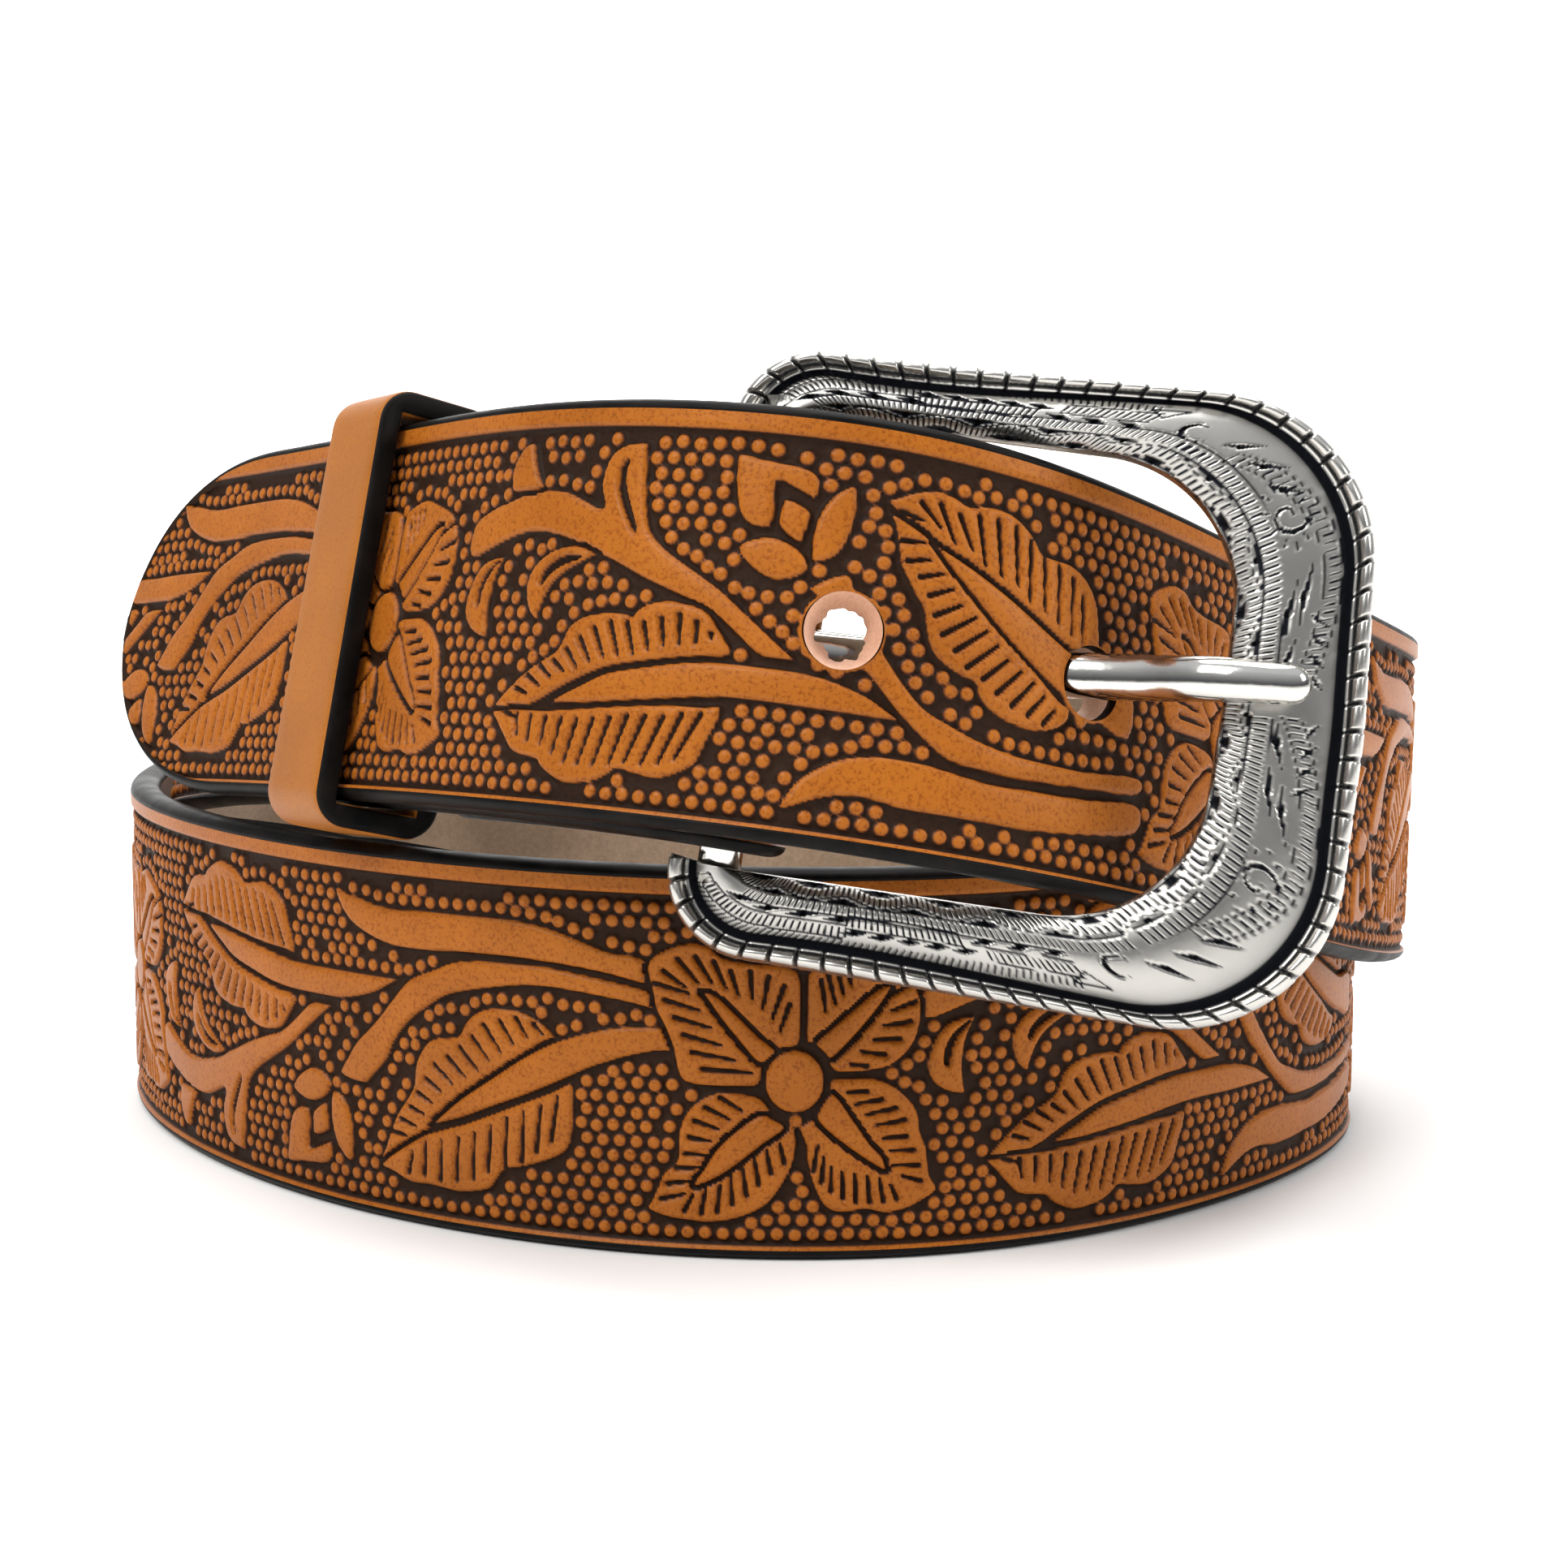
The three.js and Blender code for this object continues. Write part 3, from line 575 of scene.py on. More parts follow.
leafUnit = {
    "plates": [
        "775 835 790 800 810 770 840 745 880 720 930 705 990 698 1060 700 1130 708 1200 715 "
        "1300 712 1440 705 1600 690 1600 760 1440 790 1300 805 1200 805 1100 808 1030 808 960 798 "
        "900 800 850 815 800 838 778 842",
        "775 375 800 400 840 450 885 515 920 545 960 585 1005 625 1060 665 1110 692 1200 700 "
        "1300 700 1440 690 1600 675 1600 630 1440 645 1340 648 1250 645 1170 632 1100 610 1040 585 "
        "990 540 955 500 930 470 880 400 850 335",
        "-105 270 -30 232 0 225 60 208 120 200 190 203 245 222 298 240 285 195 292 150 310 118 "
        "345 100 392 97 398 110 402 160 408 210 416 255 430 290 470 325 540 365 600 400 640 430 "
        "700 475 740 505 772 528 770 534 700 534 650 500 600 462 560 440 500 420 420 392 340 358 "
        "270 335 200 310 120 298 60 305 0 322 -105 352",
        "45 97 22 120 8 150 8 180 18 207 60 208 120 200 105 170 90 140 80 110 72 92",
        "20 345 -40 355 -75 385 -95 430 -100 465 -85 500 -50 525 -5 532 -8 500 -10 450 -2 400 "
        "20 350",
        "300 340 250 322 200 325 150 345 118 375 105 410 110 445 125 475 150 492 158 470 175 430 "
        "200 400 240 375 300 345",
        "50 690 100 630 160 585 215 555 232 530 245 500 275 478 310 468 355 462 395 465 405 468 "
        "415 455 440 440 480 430 520 432 560 440 585 455 605 480 625 505 640 530 620 545 560 550 "
        "450 568 350 590 250 635 160 680",
        "50 690 70 720 100 755 125 780 160 790 200 795 215 810 240 825 280 840 330 838 370 828 "
        "400 810 415 800 460 808 510 812 550 800 590 775 605 745 615 715 630 680 632 642 600 645 "
        "500 650 400 660 300 672 200 682 160 682",
        "215 670 240 650 300 620 360 592 450 573 540 556 620 550 700 550 800 552 860 562 920 580 "
        "960 600 1000 625 960 630 900 630 800 630 700 627 600 632 500 645 400 657 300 668",
        "620 308 640 290 680 278 720 285 755 305 770 330 765 350 735 368 700 372 665 358 635 335",
        "598 110 650 117 700 122 740 128 765 142 772 165 765 195 750 190 715 175 690 165 685 180 "
        "690 230 680 265 640 262 615 240 602 200 595 150",
        "705 195 757 215 762 240 755 268 745 290 700 262 695 230",
        "838 150 815 160 790 185 772 225 765 270 768 305 775 325 805 318 830 295 845 250 850 200 "
        "845 165",
        "905 180 925 158 960 140 1000 130 1040 135 1075 148 1110 138 1160 138 1200 152 1240 180 "
        "1260 205 1300 210 1350 212 1395 235 1425 270 1440 310 1450 420 1390 410 1300 370 1200 320 "
        "1100 275 1010 240",
        "905 190 920 215 935 260 945 300 965 330 985 360 1005 385 1015 420 1030 460 1060 490 "
        "1110 512 1138 518 1150 545 1180 570 1230 588 1290 592 1340 580 1370 560 1380 540 1375 520 "
        "1340 505 1250 440 1180 395 1100 330 1040 270 1000 232",
        "1000 235 1010 240 1100 275 1200 320 1300 370 1390 410 1440 425 1560 440 1560 560 1440 530 "
        "1400 520 1330 490 1260 450 1180 395 1100 330 1040 280",
    ],
    "slits": [
        "352 133 338 150 332 180 340 215 360 255 388 297 392 285 375 245 358 205 350 170 355 145",
        "0 358 -40 390 -58 430 -58 460 -45 462 -40 430 -25 395 5 362",
        "255 345 205 350 170 370 150 395 148 412 158 412 175 390 210 368 258 352",
    ],
    "strokes": [   # outer ends, inner ends, how many
        ("115 640 160 592 220 575 262 540 300 508 340 490 375 482 420 490 450 478 480 470 515 460 "
         "545 468 575 480 590 495",
         "155 652 205 618 240 600 290 588 330 565 375 560 422 550 445 540 475 535 500 525 540 520 "
         "570 518 592 505", 14),
        ("90 693 180 700 210 700 250 700 290 702 345 695 385 690 430 682 470 680 510 678 555 668 "
         "590 665",
         "130 705 140 750 175 755 220 760 262 785 290 800 325 790 375 795 430 780 460 782 500 780 "
         "545 762", 13),
        ("935 190 990 150 1030 165 1070 175 1110 160 1150 165 1190 170 1230 190 1265 210 1305 225 "
         "1345 235 1385 275",
         "980 200 1010 200 1050 235 1080 230 1125 265 1165 280 1205 290 1245 320 1285 330 1315 345 "
         "1355 360 1395 390", 12),
        ("945 250 960 290 985 310 1015 350 1035 395 1055 430 1080 450 1120 490 1170 510 1200 535 "
         "1235 550 1270 560 1310 570",
         "990 245 1005 275 1040 305 1075 340 1095 365 1130 385 1165 410 1195 440 1230 465 1265 480 "
         "1290 495 1310 515 1335 535",
         13),
    ],
}

# on every other unit these lie the other way up; drawn from the flower on the right
turnedUnit = {
    "plates": [
        "-70 110 -20 125 0 125 100 143 250 140 400 138 480 142 560 155 640 180 700 200 790 215 "
        "800 275 700 258 600 245 500 238 400 235 300 238 200 243 100 238 0 205 -50 160",
        "170 310 240 280 300 255 370 245 450 243 550 245 650 258 750 275 795 285 880 300 890 350 "
        "810 335 750 322 650 308 560 300 480 302 400 315 330 330 280 345 230 375 180 410 150 440 "
        "120 480 100 520 50 570 20 590 -60 575 -30 520 0 480 40 445 80 405 120 360",
        "75 775 90 730 110 680 130 640 160 600 180 565 185 520 200 485 225 455 260 440 310 432 "
        "330 400 355 375 390 358 440 352 490 358 530 375 560 395 572 415 540 430 500 460 440 500 "
        "380 545 320 590 260 640 215 685 190 695",
        "75 775 120 795 170 812 220 810 260 812 310 816 360 808 400 795 420 770 440 745 480 735 "
        "540 715 590 690 612 660 618 610 618 560 612 515 560 540 480 575 400 610 330 640 250 668 "
        "190 695",
        "235 655 260 630 320 580 400 525 480 470 560 425 640 395 720 375 815 368 900 380 900 440 "
        "835 430 760 445 700 465 650 485 580 520 500 558 400 600 320 635 240 660",
    ],
    "strokes": [
        ("110 690 140 655 165 630 185 600 215 555 245 510 280 490 325 455 355 430 385 400 430 385 "
         "470 375 515 385",
         "160 695 200 662 215 632 240 602 260 575 300 548 335 530 375 505 400 480 430 460 455 440 "
         "500 420 540 408", 13),
        ("165 785 200 780 240 790 275 790 320 780 365 770 400 745 445 735 490 715 560 660",
         "180 730 215 700 265 690 310 680 350 665 390 645 430 625 465 605 505 590 578 550", 10),
    ],
}

flower = {
    "plates": [
        "1050 500 1000 507 940 508 880 500 860 470 850 420 830 370 810 330 800 280 790 240 800 210 "
        "840 185 890 170 935 178 960 200 1000 210 1050 215 1100 218 1135 235 1143 280 1143 340 "
        "1140 400 1125 412 1090 420 1060 450",
        "1150 395 1150 330 1150 280 1155 235 1180 215 1240 200 1300 215 1370 240 1405 280 1415 330 "
        "1405 390 1380 430 1340 460 1290 470 1230 472 1210 465 1195 440 1170 410",
        "1205 485 1250 480 1300 480 1350 500 1390 535 1410 570 1415 610 1430 650 1435 690 1440 720 "
        "1455 755 1400 790 1370 800 1330 805 1290 795 1250 800 1215 798 1190 780 1170 740 1155 690 "
        "1150 640 1135 600 1150 585 1180 560 1200 520",
        "1055 530 1020 518 960 515 920 530 890 555 870 590 862 630 860 680 830 710 815 745 800 780 "
        "790 800 830 818 880 825 930 828 980 822 1030 805 1070 780 1100 740 1125 690 1135 640 "
        "1130 600 1110 580 1080 560",
        "915 285 950 290 1000 335 1050 385 1090 420 1075 440 1045 450 1000 400 960 350 925 300",
        "1345 265 1310 275 1250 325 1200 370 1170 400 1190 425 1210 440 1260 390 1310 330 1340 285",
        "1335 705 1330 670 1300 635 1260 575 1215 515 1185 545 1175 575 1190 600 1230 635 1290 680",
        "900 745 905 720 920 700 950 650 1000 600 1050 565 1080 575 1110 600 1060 640 1000 690 "
        "950 725",
    ],
    "strokes": [
        ("830 240 870 205 930 205 980 235 1040 235 1100 260 1115 310",
         "880 275 925 260 965 270 1000 290 1040 300 1075 340 1095 370", 9),
        ("810 270 835 310 865 365 880 395 900 435 920 465",
         "890 290 905 315 940 370 955 400 985 435 1030 470", 6),
        ("1185 255 1200 235 1245 230", "1195 325 1225 300 1250 265", 4),
        ("1395 260 1400 325 1380 375 1350 410 1320 440 1290 455",
         "1345 290 1340 335 1310 385 1290 405 1275 420 1250 450", 6),
        ("1290 515 1335 540 1375 570 1380 600 1380 630 1400 660 1410 695 1415 730",
         "1245 515 1265 545 1290 570 1315 600 1330 630 1345 660 1350 695 1370 715", 8),
        ("1170 700 1195 735 1220 755 1250 770 1285 775 1320 775 1360 770",
         "1180 640 1205 685 1225 700 1250 705 1280 710 1310 715 1345 735", 8),
        ("960 530 920 560 900 590 890 625 885 660 860 700 840 740 825 775",
         "1010 560 975 585 950 610 935 640 925 670 905 705 895 730 880 760", 8),
        ("880 800 910 805 945 805 980 785 1020 760 1060 720 1080 700 1105 680",
         "900 760 935 740 960 735 985 710 1010 690 1045 665 1065 650 1095 635", 8),
    ],
    "disc": (1127, 490, 2.9, 3.2),   # middle, half width and half height in mm
}

unitNudge = {415: 0.6, 930.1: -1.8}   # leaves stand a little off the even spacing here
flowerAt = [15, 115, 215, 315, 415, 515, 593.8, 672.5, 751.3, 830.1, 930.1, 1030.1]


def drawn(text, left, flip=False):
    flat = np.array(text.split(), float).reshape(-1, 2) / tooling["drawnTo"]
    x, w = flat[:, 0] + left, strap["width"] / 2 - flat[:, 1]
    return np.stack([x, tooling["flipAbout"] - w if flip else w], 1)


def rounded(points, steps=3):
    before, after, beyond = np.roll(points, 1, 0), np.roll(points, -1, 0), np.roll(points, -2, 0)
    made = []
    for t in np.arange(steps) / steps:
        square = (2 * before - 5 * points + 4 * after - beyond) * t * t
        cube = (3 * points - before - 3 * after + beyond) * t ** 3
        made.append(0.5 * (2 * points + (after - before) * t + square + cube))
    return np.stack(made, 1).reshape(-1, 2)


def resampled(points, count):
    run = np.concatenate([[0], np.cumsum(np.linalg.norm(np.diff(points, axis=0), axis=1))])
    want = np.linspace(0, run[-1], count)
    return np.stack([np.interp(want, run, points[:, k]) for k in range(2)], 1)


# distance to an outline, more than 0 inside it
def insideDistance(x, w, outline):
    nearest = np.full(x.shape, 1e9)
    inside = np.zeros(x.shape, bool)
    for (ax, aw), (bx, bw) in zip(outline, np.roll(outline, -1, 0)):
        dx, dw = bx - ax, bw - aw
        square = dx * dx + dw * dw
        if square < 1e-9:
            continue
        t = np.clip(((x - ax) * dx + (w - aw) * dw) / square, 0, 1)
        nearest = np.minimum(nearest, (x - ax - t * dx) ** 2 + (w - aw - t * dw) ** 2)
        if dw:
            crossed = (aw > w) != (bw > w)
            inside ^= crossed & (x < ax + (w - aw) * dx / dw)
    return np.where(inside, 1, -1) * np.sqrt(nearest)


def window(values, low, high):
    return slice(int(np.searchsorted(values, low)), int(np.searchsorted(values, high)))


def fieldWindow(field, points, margin):
    rows = window(field["lengths"], points[:, 0].min() - margin, points[:, 0].max() + margin)
    columns = window(field["across"], points[:, 1].min() - margin, points[:, 1].max() + margin)
    return rows, columns, field["lengths"][rows][:, None], field["across"][columns][None]


# a leaf, petal or stem with a cut line round it
def raisePlate(field, outline, dome=0.0):
    rows, columns, x, w = fieldWindow(field, outline, 1.2)
    if not x.size or not w.size:
        return
    inside = insideDistance(x + 0 * w, w + 0 * x, outline)
    height = field["height"][rows, columns]
    rise = smoothStep(0, tooling["bevel"], inside)
    top = tooling["bevelFoot"] * (1 - rise) - dome * (1 - np.clip(inside / 1.6, 0, 1)) ** 2
    cut = np.where(inside > -tooling["groove"], np.minimum(height, tooling["grooveDepth"]), height)
    field["height"][rows, columns] = np.where(inside > 0, top, cut)
    field["clear"][rows, columns] = np.minimum(field["clear"][rows, columns], -inside)


def sinkSlit(field, outline):
    rows, columns, x, w = fieldWindow(field, outline, 0.4)
    if not x.size or not w.size:
        return
    inside = insideDistance(x + 0 * w, w + 0 * x, outline)
    cut = tooling["slitDepth"] * smoothStep(-0.12, 0.15, inside)
    field["height"][rows, columns] = np.minimum(field["height"][rows, columns], cut)


def cutStroke(field, start, end):
    rows, columns, x, w = fieldWindow(field, np.stack([start, end]), 0.4)
    if not x.size or not w.size:
        return
    run = end - start
    t = np.clip(((x - start[0]) * run[0] + (w - start[1]) * run[1]) / (run @ run + 1e-9), 0, 1)
    away = np.hypot(x - start[0] - t * run[0], w - start[1] - t * run[1])
    half = tooling["strokeWide"] + (tooling["strokeNarrow"] - tooling["strokeWide"]) * t
    cut = -tooling["strokeDepth"] * np.clip(1 - (away / half) ** 2, 0, 1)
    field["height"][rows, columns] = np.minimum(field["height"][rows, columns], cut)


def drawMotif(field, motif, left, flowerLength, stretch=1.0, flip=False, plates=None):
    def laid(text):
        flat = drawn(text, left, flip)
        return np.stack([flowerLength - flat[:, 0] * stretch, flat[:, 1]], 1)
    for outline in motif["plates"] if plates is None else [motif["plates"][k] for k in plates]:
        raisePlate(field, rounded(laid(outline)), 0.10)
    for outline in motif.get("slits", []):
        sinkSlit(field, rounded(laid(outline)))
    for outer, inner, count in motif["strokes"]:
        for start, end in zip(resampled(laid(outer), count), resampled(laid(inner), count)):
            cutStroke(field, start, end)


def drawFlower(field, flowerLength):
    drawMotif(field, flower, -tooling["flowerMiddle"], flowerLength)
    x, y, wide, high = flower["disc"]
    middle = drawn(f"{x} {y}", -tooling["flowerMiddle"])[0]
    angle = np.arange(32) * math.pi / 16
    ring = np.stack([flowerLength - middle[0] + wide * np.cos(angle), middle[1] + high * np.sin(angle)], 1)
    raisePlate(field, ring, 0.05)


# an even lattice, the same for all the sheets, so that beads meet at their ends
def beadLattice(field):
    pitch, jitter = tooling["beadPitch"], tooling["beadJitter"]
    first, last = field["lengths"][0], field["lengths"][-1]
    lowest, highest = tooling["bottomRim"] + 1.05, tooling["topRim"] - 1.15
    count = round((highest - lowest) / (pitch * tooling["beadRows"])) + 1
    places = []
    for row, w in enumerate(np.linspace(lowest, highest, count)):
        for number in range(int(first / pitch) - 1, int(last / pitch) + 2):
            wander = number * 12.9898 + row * 78.233
            x = (number + row % 2 / 2) * pitch + math.sin(wander) * jitter
            places.append((x, w + math.cos(wander * 1.7) * jitter))
    return np.array(places)


def nearestCells(field, points):
    cells = []
    for values, wanted in ((field["lengths"], points[:, 0]), (field["across"], points[:, 1])):
        number = np.rint((wanted - values[0]) / (values[1] - values[0])).astype(int)
        cells.append(np.clip(number, 0, len(values) - 1))
    return tuple(cells)


def spacedBeads(field):
    lengths, across, clear = field["lengths"], field["across"], field["clear"]
    top, bottom, room = tooling["topRim"], tooling["bottomRim"], tooling["beadRoom"]
    slopes = np.stack(np.gradient(clear, lengths[1] - lengths[0], across[1] - across[0]), -1)
    places = beadLattice(field)
    for _ in range(2):
        cells = nearestCells(field, places)
        push = np.where((clear[cells] > -0.3) & (clear[cells] < room), room - clear[cells], 0)
        places = places + push[:, None] * slopes[cells]
    inside = (places[:, 1] < top - 0.85) & (places[:, 1] > bottom + 0.8)
    places = places[inside & (clear[nearestCells(field, places)] > 0.50)]
    gaps = np.stack(np.meshgrid(np.arange(lengths[0], lengths[-1], 0.5),
                                np.arange(bottom + 1.0, top - 1.0, 0.5), indexing="ij"), -1).reshape(-1, 2)
    gaps = gaps[clear[nearestCells(field, gaps)] > 0.55]
    kept = []
    taken = {}

    def settle(x, w, apart):
        column, line = int(x // 2), int(w // 2)
        near = [q for a in (-1, 0, 1) for b in (-1, 0, 1) for q in taken.get((column + a, line + b), [])]
        if all((x - nearX) ** 2 + (w - nearW) ** 2 > apart ** 2 for nearX, nearW in near):
            taken.setdefault((column, line), []).append((x, w))
            kept.append((x, w))
    for x, w in places:
        settle(x, w, tooling["beadApart"])
    for x, w in gaps:
        settle(x, w, tooling["gapBeadApart"])
    return np.array(kept)


def dropBeads(field):
    lengths, across, radius = field["lengths"], field["across"], tooling["beadRadius"]
    kept = spacedBeads(field)
    if not len(kept):
        return
    i, k = nearestCells(field, kept)
    spanI = int(math.ceil(radius / (lengths[1] - lengths[0]))) + 1
    spanK = int(math.ceil(radius / (across[1] - across[0]))) + 1
    for a in range(-spanI, spanI + 1):
        for b in range(-spanK, spanK + 1):
            ia, kb = i + a, k + b
            fine = (ia >= 0) & (ia < len(lengths)) & (kb >= 0) & (kb < len(across))
            ia, kb = ia[fine], kb[fine]
            away = np.hypot(lengths[ia] - kept[fine, 0], across[kb] - kept[fine, 1]) / radius
            dome = tooling["ground"] + tooling["beadHeight"] * np.sqrt(np.clip(1 - away ** 2, 0, 1))
            np.maximum.at(field["height"], (ia, kb), np.where(away < 1, dome, -9))


# heights from the strap's face down, on a flat grid of length by width
def toolField(lengths, across):
    size = (len(lengths), len(across))
    field = {"lengths": lengths, "across": across,
             "height": np.full(size, tooling["ground"]), "clear": np.full(size, 9.0)}
    for number, place in enumerate(flowerAt):
        before = flowerAt[number - 1] if number else place - tooling["repeat"]
        if before - tooling["flowerReach"] > lengths[-1] or place + tooling["flowerReach"] < lengths[0]:
            continue
        stretch = (place - before) / tooling["repeat"]
        nudge = unitNudge.get(place, 0)
        if number % 2 == 0:
            drawMotif(field, leafUnit, tooling["unitLeft"], place + nudge, stretch)
        else:
            drawMotif(field, turnedUnit, tooling["repeat"] - tooling["flowerMiddle"], place, stretch)
            drawMotif(field, {**leafUnit, "strokes": leafUnit["strokes"][:2]},
                      tooling["unitLeft"], place, stretch, True, [2, 3, 4, 5, 6, 7, 8, 9, 10, 11, 12])
        drawFlower(field, before)
    if flowerAt[-1] - tooling["flowerReach"] < lengths[-1]:
        drawFlower(field, flowerAt[-1])
    dropBeads(field)
    height = field["height"]
    w = across[None] + 0 * height
    top, bottom = tooling["topRim"], tooling["bottomRim"]
    foot, deep = tooling["bevelFoot"], tooling["slitDepth"]
    height = np.where(w > top - 0.35, np.minimum(height, deep), height)
    height = np.where(w > top, foot * (1 - smoothStep(top, top + 0.4, w)), height)
    height = np.where(w < bottom + 0.3, np.minimum(height, deep), height)
    return np.where(w < bottom, foot * (1 - smoothStep(-bottom, -bottom + 0.25, -w)), height)


# The buckle's own frame at the heel bar

buckle = {
    "yaw": 11.0,
    "turn": 1.0,
    "settles": 0.8,
    "prongTurn": 3.5,
    "left": 4.6,
    "right": 54.0,
    "skew": 1.1,
    "bulge": 1.0,
    "bulgeRadius": 70.0,
    "halfLeft": 27.6,
    "halfRight": 28.6,
    "cornerLeft": 8.0,
    "cornerRight": 15.0,
    "openingHigh": 21.5,
    "openingLow": 19.8,
    "openingRight": 42.0,
    "openingBulge": 0.4,
    "openingCorner": 13.0,
    "curveLeft": 7.0,
    "taper": 0.7,
    "back": 2.0,
    "rimWidth": 1.7,
    "rimHeight": 2.3,
    "ropePitch": 2.55,
    "channelWidth": 0.9,
    "channelHeight": 0.9,
    "crown": 2.4,
    "innerEdge": 1.1,
    "innerRound": 0.7,
    "barReach": 1.5,
    "crownAt": 0.6,
    "ropeMiddle": 0.92,      # across the rim
    "ropeHalf": 0.88,
    "ropeSwell": 0.12,
    "ropeSlit": 0.24,        # half width of the cuts between its turns
    "ropeSlitDepth": 0.8,
    "ropeSlant": 0.22,
}


def turned(v, axis, angle):
    c, s = math.cos(angle), math.sin(angle)
    return v * c + np.cross(axis, v) * s + axis * (axis @ v) * (1 - c)


barCentre = heel[0] - heel[3] * foldRadius - heel[2] * buckle["settles"] + shift
buckleAlong = turned(-heel[1], heel[2], math.radians(buckle["yaw"]))
buckleOut = unit(np.cross(buckleAlong, heel[2]))


def buckleAxes(degrees):
    c, s = math.cos(math.radians(degrees)), math.sin(math.radians(degrees))
    return np.stack([buckleAlong * c + heel[2] * s, heel[2] * c - buckleAlong * s, buckleOut])


frameAxes = buckleAxes(buckle["turn"])
prongAxes = buckleAxes(buckle["turn"] + buckle["prongTurn"])


def onBuckle(points, axes=frameAxes):
    return barCentre + np.asarray(points) @ axes


prong = {
    "width": 4.2,
    "thickness": 3.4,
    "eyeWall": 1.5,
    "eyeWidth": 5.2,
    "taperFrom": 0.55,
    "taper": 0.12,
    "bluntFrom": 0.94,
    "passageGap": 0.3,       # round the prong where it goes through the strap
    "line": [(0.05, 0.95), (0.14, 0.52), (0.28, -0.05), (0.42, -0.42), (0.54, -0.46), (0.66, 0.35),
             (0.76, 1.36), (0.84, 1.58), (0.92, 1.40)],   # shares of the frame's reach and of the thickness
}


def prongLine(t):
    given = np.array(prong["line"]) * [buckle["right"], prong["thickness"]]
    given = np.vstack([2 * given[0] - given[1], given, 2 * given[-1] - given[-2]])
    place = np.clip(t, 0, 1) * (len(given) - 3)
    first = min(int(place), len(given) - 4)
    p = given[first:first + 4]
    knots = np.concatenate([[0], np.cumsum(np.sqrt(np.linalg.norm(np.diff(p, axis=0), axis=1)))])
    at = knots[1] + (knots[2] - knots[1]) * (place - first)

    def between(a, b, start, end):
        return (a * (end - at) + b * (at - start)) / (end - start)
    a1, a2, a3 = (between(p[k], p[k + 1], knots[k], knots[k + 1]) for k in range(3))
    b1, b2 = between(a1, a2, knots[0], knots[2]), between(a2, a3, knots[1], knots[3])
    return between(b1, b2, knots[1], knots[2])


def cappedTube(name, rings, smooth=True):
    count, around = len(rings), len(rings[0])
    points = np.concatenate(rings)
    quads = gridQuads(count, around, True)
    ends = np.stack([rings[0].mean(0), rings[-1].mean(0)])
    k = np.arange(around)
    nextK = (k + 1) % around
    total, lastRow = count * around, (count - 1) * around
    first = np.stack([np.full(around, total), nextK, k], 1)
    last = np.stack([np.full(around, total + 1), lastRow + k, lastRow + nextK], 1)
    points = np.vstack([points, ends])
    tris = np.vstack([first, last, quads[:, [0, 1, 2]], quads[:, [0, 2, 3]]])
    a, b, c = points[tris[:, 0]], points[tris[:, 1]], points[tris[:, 2]]
    if np.einsum("ij,ij->i", a, np.cross(b, c)).sum() < 0:
        quads, first, last = quads[:, ::-1], first[:, ::-1], last[:, ::-1]
    return meshFrom(name, points, quads, np.vstack([first, last]), smooth)


def softened(wave, power):
    return np.sign(wave) * np.abs(wave) ** power


def prongTube(name, grow, low, high, steps=70, around=28):
    rings = []
    for t in np.linspace(low, high, steps):
        centre, ahead = prongLine(t), prongLine(min(1, t + 0.004)) - prongLine(max(0, t - 0.004))
        ahead = ahead / np.linalg.norm(ahead)
        past = max(0, (t - prong["bluntFrom"]) / 0.06)
        blunt = math.sqrt(max(0.02, 1 - past ** 2)) if high == 1 else 1
        taper = 1 - prong["taper"] * smoothStep(prong["taperFrom"], 1, t)
        angle = np.arange(around) * 2 * math.pi / around
        across = (prong["width"] / 2 * blunt * taper + grow) * softened(np.cos(angle), 0.85)
        out = (prong["thickness"] / 2 * blunt + grow) * softened(np.sin(angle), 0.9)
        flat = np.stack([centre[0] - ahead[1] * out, across, centre[1] + ahead[0] * out], 1)
        rings.append(onBuckle(flat, prongAxes))
    return cappedTube(name, rings)


# The strap: tooled face in sheets, body with black edges and a flesh side

def keptMesh(name, points, quads, values):
    used, places = np.unique(quads, return_inverse=True)
    made = meshFrom(name, points[used], places.reshape(-1, 4))
    pointValues(made, "relief", values[used])
    return made


# where the prong lies on the leather and presses it down
def underProng(points):
    local = (points - barCentre) @ prongAxes.T
    line = np.array([prongLine(t) for t in np.linspace(0.3, 1, 60)])
    middle = np.interp(local[:, 0], line[:, 0], line[:, 1])
    along = (local[:, 0] > line[0, 0]) & (local[:, 0] < line[-1, 0] + 1)
    beside = np.abs(local[:, 1]) < prong["width"] / 2 + 0.15
    return along & beside & (np.abs(local[:, 2] - middle) < prong["thickness"] / 2 + 0.2)


def openHoles(lengths, across, height):
    limit = (halfWidthAt(lengths) - strap["edgeRound"])[:, None]
    x, w = lengths[:, None] + 0 * across[None], np.clip(across[None], -limit, limit)
    hidden = np.zeros(height.shape, bool)
    radius = tooling["holeRadius"]
    for back in tooling["holes"]:
        middle = turn + back
        away = np.hypot(x - middle, w)
        inside = away < radius
        hidden |= inside
        grow = np.where(inside, radius / np.maximum(away, 1e-6), 1)
        x, w = middle + (x - middle) * grow, w * grow
        lip = 1 - smoothStep(radius, radius + 0.5, away)
        height = height * (1 - lip) - 0.15 * lip
    return x, w, height, hidden


